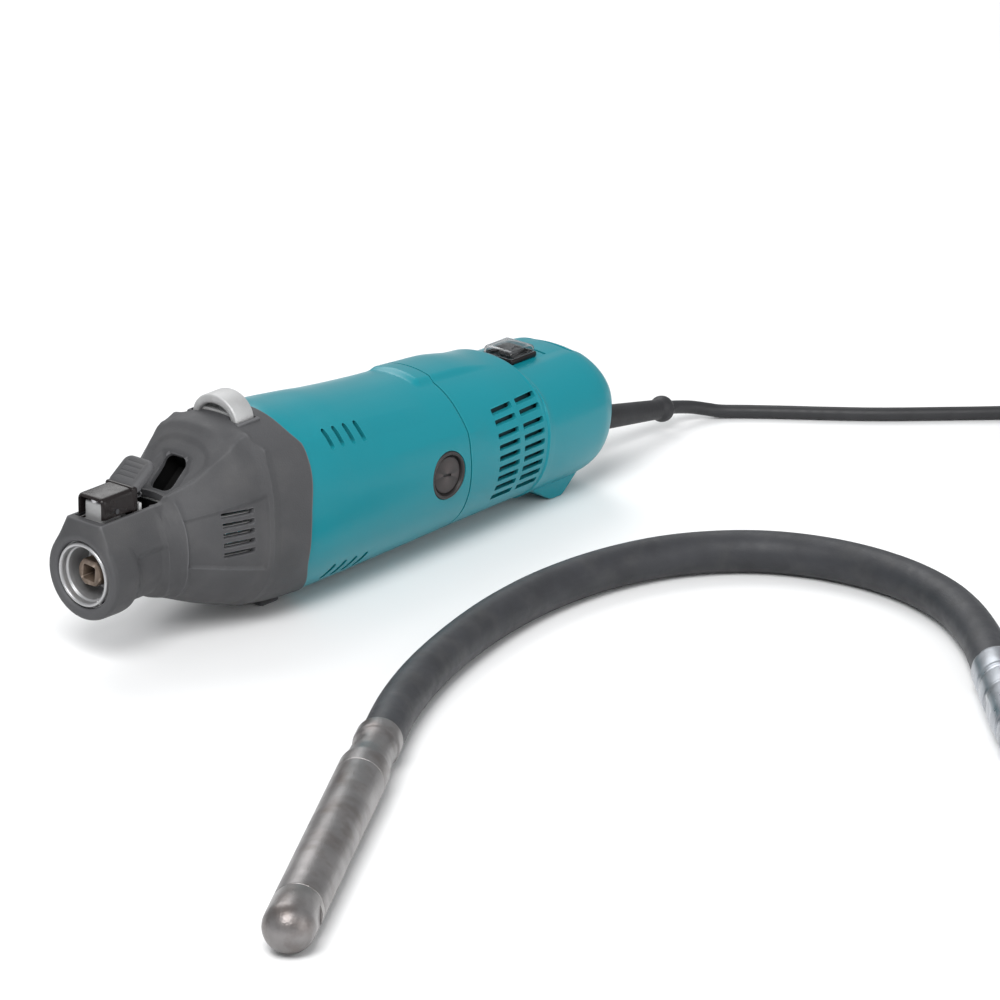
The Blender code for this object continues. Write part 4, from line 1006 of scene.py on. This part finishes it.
def build_brush_caps():
    profile = [(0.0060, 0.0), (0.0060, 0.0106), (0.0048, 0.0110), (0.0048, 0.0116), (0.0072, 0.0121),
               (0.0074, 0.0136), (0.0066, 0.0141), (0.0, 0.0141), (0.0, 0.0)]
    for word, side in (("left", -1), ("right", 1)):
        start = at(CAP_PLACE, side * 0.0412)
        mesh = turned_mesh(rounded(profile, 0.0004, 3), start, (0, side, 0), 96, True)
        middle = start + Vector((0, side * 0.0062, 0))
        coin = box_mesh((-0.0034, -0.0012, -0.0008), (0.0034, 0.0012, 0.0008),
                        Matrix.Rotation(math.radians(12), 4, "Y"), middle)
        mesh = shaped(mesh, [shaped(coin, bevel=0.0003, segments=2)])
        new_piece("cap_" + word, shade(mesh, 35), CAP_PLASTIC, "root",
                  ("brush_cap_" + word,))


def build_latch():
    shell = block((0.0070, -0.0102, 0.0280), (0.0345, 0.0102, 0.0445))
    shell = shaped(shell, bevel=0.0034, segments=6)
    shell = shaped(shell, [block((0.0000, -0.0200, 0.0300), (0.0345, 0.0200, 0.0322))])
    hollow = shaped(block((0.0030, -0.0086, 0.0250), (0.0318, 0.0086, 0.0429)), bevel=0.0022, segments=4)
    band = shaped(block((0.0303, -0.0108, 0.0306), (0.0348, 0.0108, 0.0452)), bevel=0.0016, segments=4)
    band_hollow = block((0.0290, -0.0086, 0.0250), (0.0360, 0.0086, 0.0428))
    band = shaped(band, [band_hollow])
    arm = box_mesh((-0.0104, -0.0080, -0.0010), (0.0104, 0.0080, 0.0010),
                   Matrix.Rotation(math.radians(-29), 4, "Y"), at(0.0400, 0.0, 0.0463))
    pin_dot = [rod_mesh(at(0.0185, side * 0.0098, 0.0350), at(0.0185, side * 0.0112, 0.0350), 0.0016, 24)
               for side in (-1, 1)]
    mesh = shaped(shell, [hollow] + pin_dot, [band, arm])
    mesh = shaped(mesh, bevel=0.0003, segments=2, bevel_angle=50)
    new_piece("latch_channel", shade(mesh, 35), BLACK_PLASTIC, "latch", ("latch_lever",))

    outline = []
    for corner_x, corner_y, start in ((0.0105, 0.0100, 0), (-0.0105, 0.0100, 90), (-0.0105, -0.0100, 180),
                                      (0.0105, -0.0100, 270)):
        radius = 0.0050 if corner_x > 0 else 0.0034
        for step in range(7):
            angle = math.radians(start + 15 * step)
            outline.append((corner_x - math.copysign(radius, corner_x) + radius * math.cos(angle),
                            corner_y * 1.06 - math.copysign(radius, corner_y) + radius * math.sin(angle)))
    turn = Matrix.Rotation(math.radians(-34), 4, "Y")
    seat = Matrix.Translation(at(0.0415, 0, 0.0478)) @ turn
    pad = shaped(prism_mesh(outline, -0.0032, 0.0032, seat), bevel=0.0024, segments=6)
    grooves = []
    for number in range(4):
        along = -0.0042 + 0.0034 * number
        groove = rod_mesh((along, -0.0062, 0.0037), (along, 0.0062, 0.0037), 0.0007, 16)
        groove.transform(seat)
        grooves.append(groove)
    pad = shaped(pad, grooves)
    new_piece("thumb_rest", shade(pad, 45), RUBBER, "latch", ("thumb_pad",))


def build_hook_eye():
    """A cast arch with a low web between its legs."""
    arc = []
    steps = 28
    for half, high, turn in ((0.0168, 0.0141, 1), (0.0122, 0.0087, -1)):
        line = [(half, -0.0080)]
        line += [(half * math.cos(math.pi * step / steps), high * math.sin(math.pi * step / steps))
                 for step in range(steps + 1)]
        line.append((-half, -0.0080))
        arc += line[::turn]
    matrix = Matrix.Translation(at(EYE_PLACE, 0, 0.0618)) @ Matrix(
        ((0, 0, 1, 0), (1, 0, 0, 0), (0, 1, 0, 0), (0, 0, 0, 1)))
    mesh = shaped(prism_mesh(arc, -0.0074, 0.0074, matrix), bevel=0.0012, segments=3, bevel_angle=60)
    web = block((EYE_PLACE - 0.0050, -0.0130, 0.0600), (EYE_PLACE + 0.0066, 0.0130, 0.0663), 0.0008)
    mesh = shaped(mesh, joins=[web])
    new_piece("carry_eye", shade(mesh, 38), CAST, "root", ("hook_eye",))


def build_switch():
    frame_top = 0.0344
    bezel = block((SWITCH_PLACE - 0.0112, -0.0116, 0.0312), (SWITCH_PLACE + 0.0112, 0.0116, frame_top),
                  0.0009)
    window = block((SWITCH_PLACE - 0.0093, -0.0072, 0.0200), (SWITCH_PLACE + 0.0093, 0.0072, 0.0500))
    collar = block((SWITCH_PLACE - 0.0104, -0.0096, 0.0246), (SWITCH_PLACE + 0.0104, 0.0096, 0.0334))
    bezel = shaped(bezel, [window], [collar])
    new_piece("switch_frame", shade(bezel), BLACK_PLASTIC, "root", ("switch_bezel",))

    half, steps = 0.0080, 12
    outline = [(-half, 0.0), (half, 0.0)]
    for step in range(steps + 1):
        x = half - 2 * half * step / steps
        outline.append((x, 0.0056 + 0.0012 * (abs(x) / half) ** 1.6))
    tilt = Matrix.Rotation(math.radians(-8), 4, "Y")
    pivot = Matrix.Translation(at(SWITCH_PLACE, 0, 0.0285)) @ tilt
    rocker = shaped(prism_mesh(outline, -0.0066, 0.0066, pivot @ Matrix.Rotation(math.pi / 2, 4, "X")),
                    bevel=0.0006, segments=3)
    bar = box_mesh((-0.0016, -0.0004, -0.0006), (0.0016, 0.0004, 0.0006), tilt,
                   pivot @ Vector((0.0048, 0, 0.0062)))
    ring = turned_mesh(((-0.0008, 0.0017), (0.0008, 0.0017), (0.0008, 0.0011), (-0.0008, 0.0011)),
                       pivot @ Vector((-0.0048, 0, 0.0062)), (0, 0, 1), 32)
    new_piece("rocker", shade(shaped(rocker, [bar, ring])), BLACK_PLASTIC, "rocker",
              ("switch_rocker",))

    wall, top = 0.0008, 0.0388
    low, high = at(SWITCH_PLACE - 0.0110, -0.0114, 0.0300), at(SWITCH_PLACE + 0.0110, 0.0114, top)
    cover = shaped(box_mesh(low, high), bevel=0.0030, segments=6)
    hollow = shaped(box_mesh(low + Vector((wall, wall, 0)), high - Vector((wall, wall, wall))), bevel=0.0023,
                    segments=6)
    below = block((SWITCH_PLACE - 0.0200, -0.0200, 0.0250),
                  (SWITCH_PLACE + 0.0200, 0.0200, frame_top + 0.0002))
    cover = shaped(cover, [hollow, below])
    new_piece("clear_cover", shade(cover), CLEAR, "root", ("switch_guard",))


# Flexible shaft

COUPLING_WAY = Vector((-0.691663, -0.722221, 0.0))
POKER_WAY = Vector((-0.853018, -0.521881, 0.0))
FERRULE_START = Vector((0.097792, -0.401217, 0.0145))
SLEEVE_START = Vector((0.076835, -0.423100, 0.0145))
NECK_START = Vector((-0.196256, -0.215157, 0.0143))
TUBE_START = NECK_START + POKER_WAY * 0.0603
TIP_START = TUBE_START + POKER_WAY * 0.1643


def side_flats(start, way, along, out, half_size):
    """Two boxes beside a turned piece, to cut its spanner flats with."""
    flats = []
    for side in (-1, 1):
        across = Vector((-way.y, way.x, 0)) * side
        turn = Matrix.Rotation(math.atan2(across.y, across.x), 4, "Z")
        size = Vector(half_size)
        flats.append(box_mesh(-size, size, turn, start + way * along + across * out))
    return flats


def build_coupling():
    """The ferrule, the sleeve with its groove and flats, and the splined drive tip."""
    ferrule = [(0.0300, 0.0060), (0.0300, 0.0128), (0.0290, 0.0137), (0.0262, 0.0139), (0.0250, 0.0131),
               (0.0232, 0.0131), (0.0220, 0.0139), (0.0100, 0.0142), (0.0040, 0.0142), (0.0010, 0.0135),
               (0.0, 0.0122), (0.0, 0.0060)]
    mesh = turned_mesh(rounded(ferrule, 0.0006, 3) + [ferrule[0]], FERRULE_START, COUPLING_WAY, 96)
    made = [new_piece("ferrule", shade(mesh, 32), ZINC, "flex_shaft", ("hose_ferrule",))]
    sleeve = [(0.0720, 0.0100), (0.0720, 0.0122), (0.0712, 0.0130), (0.0690, 0.0134), (0.0600, 0.0134),
              (0.0590, 0.0126), (0.0550, 0.0126), (0.0540, 0.0136), (0.0420, 0.0142), (0.0200, 0.0142),
              (0.0190, 0.0137), (0.0170, 0.0137), (0.0160, 0.0142), (0.0010, 0.0142), (0.0, 0.0132),
              (0.0, 0.0060), (0.0360, 0.0060), (0.0360, 0.0100)]
    mesh = turned_mesh(rounded(sleeve, 0.0005, 3) + [sleeve[0]], SLEEVE_START, COUPLING_WAY, 96)
    mesh = shaped(mesh, side_flats(SLEEVE_START, COUPLING_WAY, 0.0300, 0.0182, (0.0050, 0.0095, 0.0080)))
    made.append(new_piece("coupling", shade(mesh, 32), ZINC, "flex_shaft",
                          ("coupling_sleeve",)))
    outline = []
    for step in range(48):
        angle = 2 * math.pi * step / 48
        radius = 0.0047 + 0.0007 * math.cos(6 * angle)
        outline.append((radius * math.cos(angle), radius * math.sin(angle)))
    matrix = Matrix.Translation(SLEEVE_START) @ facing(COUPLING_WAY)
    mesh = shaped(prism_mesh(outline, 0.0020, 0.0598, matrix), bevel=0.0005, segments=2, bevel_angle=60)
    made.append(new_piece("splined_tip", shade(mesh, 40), STEEL, "drive_end", ("drive_tip",)))
    return made


def build_poker():
    """The poker: neck, tube and round tip. Only the neck is near enough to the hose to be carried by it."""
    profile = [(0.0600, 0.0), (0.0600, 0.0139), (0.0590, 0.0140), (0.0450, 0.0140), (0.0410, 0.0132),
               (0.0330, 0.0122), (0.0200, 0.0118), (0.0130, 0.0120), (0.0115, 0.0128), (0.0100, 0.0130),
               (0.0010, 0.0130), (0.0, 0.0124), (0.0, 0.0)]
    mesh = turned_mesh(rounded(profile, 0.0010, 3), NECK_START, POKER_WAY, 96, True)
    neck = new_piece("poker_taper", shade(mesh, 35), WORN, "flex_shaft", ("poker_neck",))
    tube = [(0.1640, 0.0113), (0.1640, 0.0137), (0.1634, 0.0140), (0.0006, 0.0140), (0.0, 0.0137),
            (0.0, 0.0113)]
    mesh = turned_mesh(rounded(tube, 0.0003, 2) + [tube[0]], TUBE_START, POKER_WAY, 96)
    new_piece("poker_barrel", shade(mesh, 35), WORN, "flex_shaft", ("poker_tube",))
    nose = [(0.0360 - 0.0140 * (1 - math.cos(math.radians(angle))), 0.0140 * math.sin(math.radians(angle)))
            for angle in range(0, 91, 6)]
    mesh = turned_mesh(nose + [(0.0006, 0.0140), (0.0, 0.0137), (0.0, 0.0)], TIP_START, POKER_WAY, 96, True)
    mesh = shaped(mesh, side_flats(TIP_START, POKER_WAY, 0.0120, 0.0178, (0.0050, 0.0060, 0.0070)))
    new_piece("poker_nose", shade(mesh, 35), WORN, "flex_shaft", ("poker_tip",))
    return neck


def build_flexible_shaft():
    points = smooth_path(HOSE_ROUTE, 10)
    hose = cord_curve("hose", points, HOSE_RADIUS, HOSE_JACKET, "flex_shaft", ("flex_hose",))
    carried = build_coupling()
    return hose, path_length(points), carried + [build_poker()]


# What the CAD keeps: inner pieces with better finishes

CAD_FINISHES = {
    "steel": STEEL, "cast_aluminium": CAST, "bright_aluminium": MACHINED, "black_plastic": BLACK_PLASTIC,
    "white_plastic": WHITE_PLASTIC, "black_rubber": BLACK_RUBBER, "copper": COPPER, "brass": BRASS,
    "bright_steel": ZINC, "worn_steel": WORN, "brown_steel": BROWN, "grey_rubber": RUBBER,
    "teal_plastic": TEAL,
    "clear_plastic": CLEAR,
}


def finish_cad_nodes():
    for entry in frame["record"]["subparts"]:
        node = frame["nodes"][entry["node"]]
        if entry["node"] in ("latch_spring", "latch_pin"):
            node.material_slots[0].material = DARK_STEEL
            continue
        for number in range(len(node.material_slots)):
            node.material_slots[number].material = CAD_FINISHES[entry["material_slot"]]


set_camera()
set_floor()
set_light()
mains_lead, lead_points = build_mains_cord()
guard = build_guard()
tie = build_tie()
plug, prongs = build_plug()
hose, hose_length, carried_by_hose = build_flexible_shaft()
finish_cad_nodes()
build_boot()
build_casting()
build_painted_shade_linings()
build_motor_housing()
build_rear_cover()
build_socket()
build_brush_caps()
build_latch()
build_hook_eye()
build_switch()
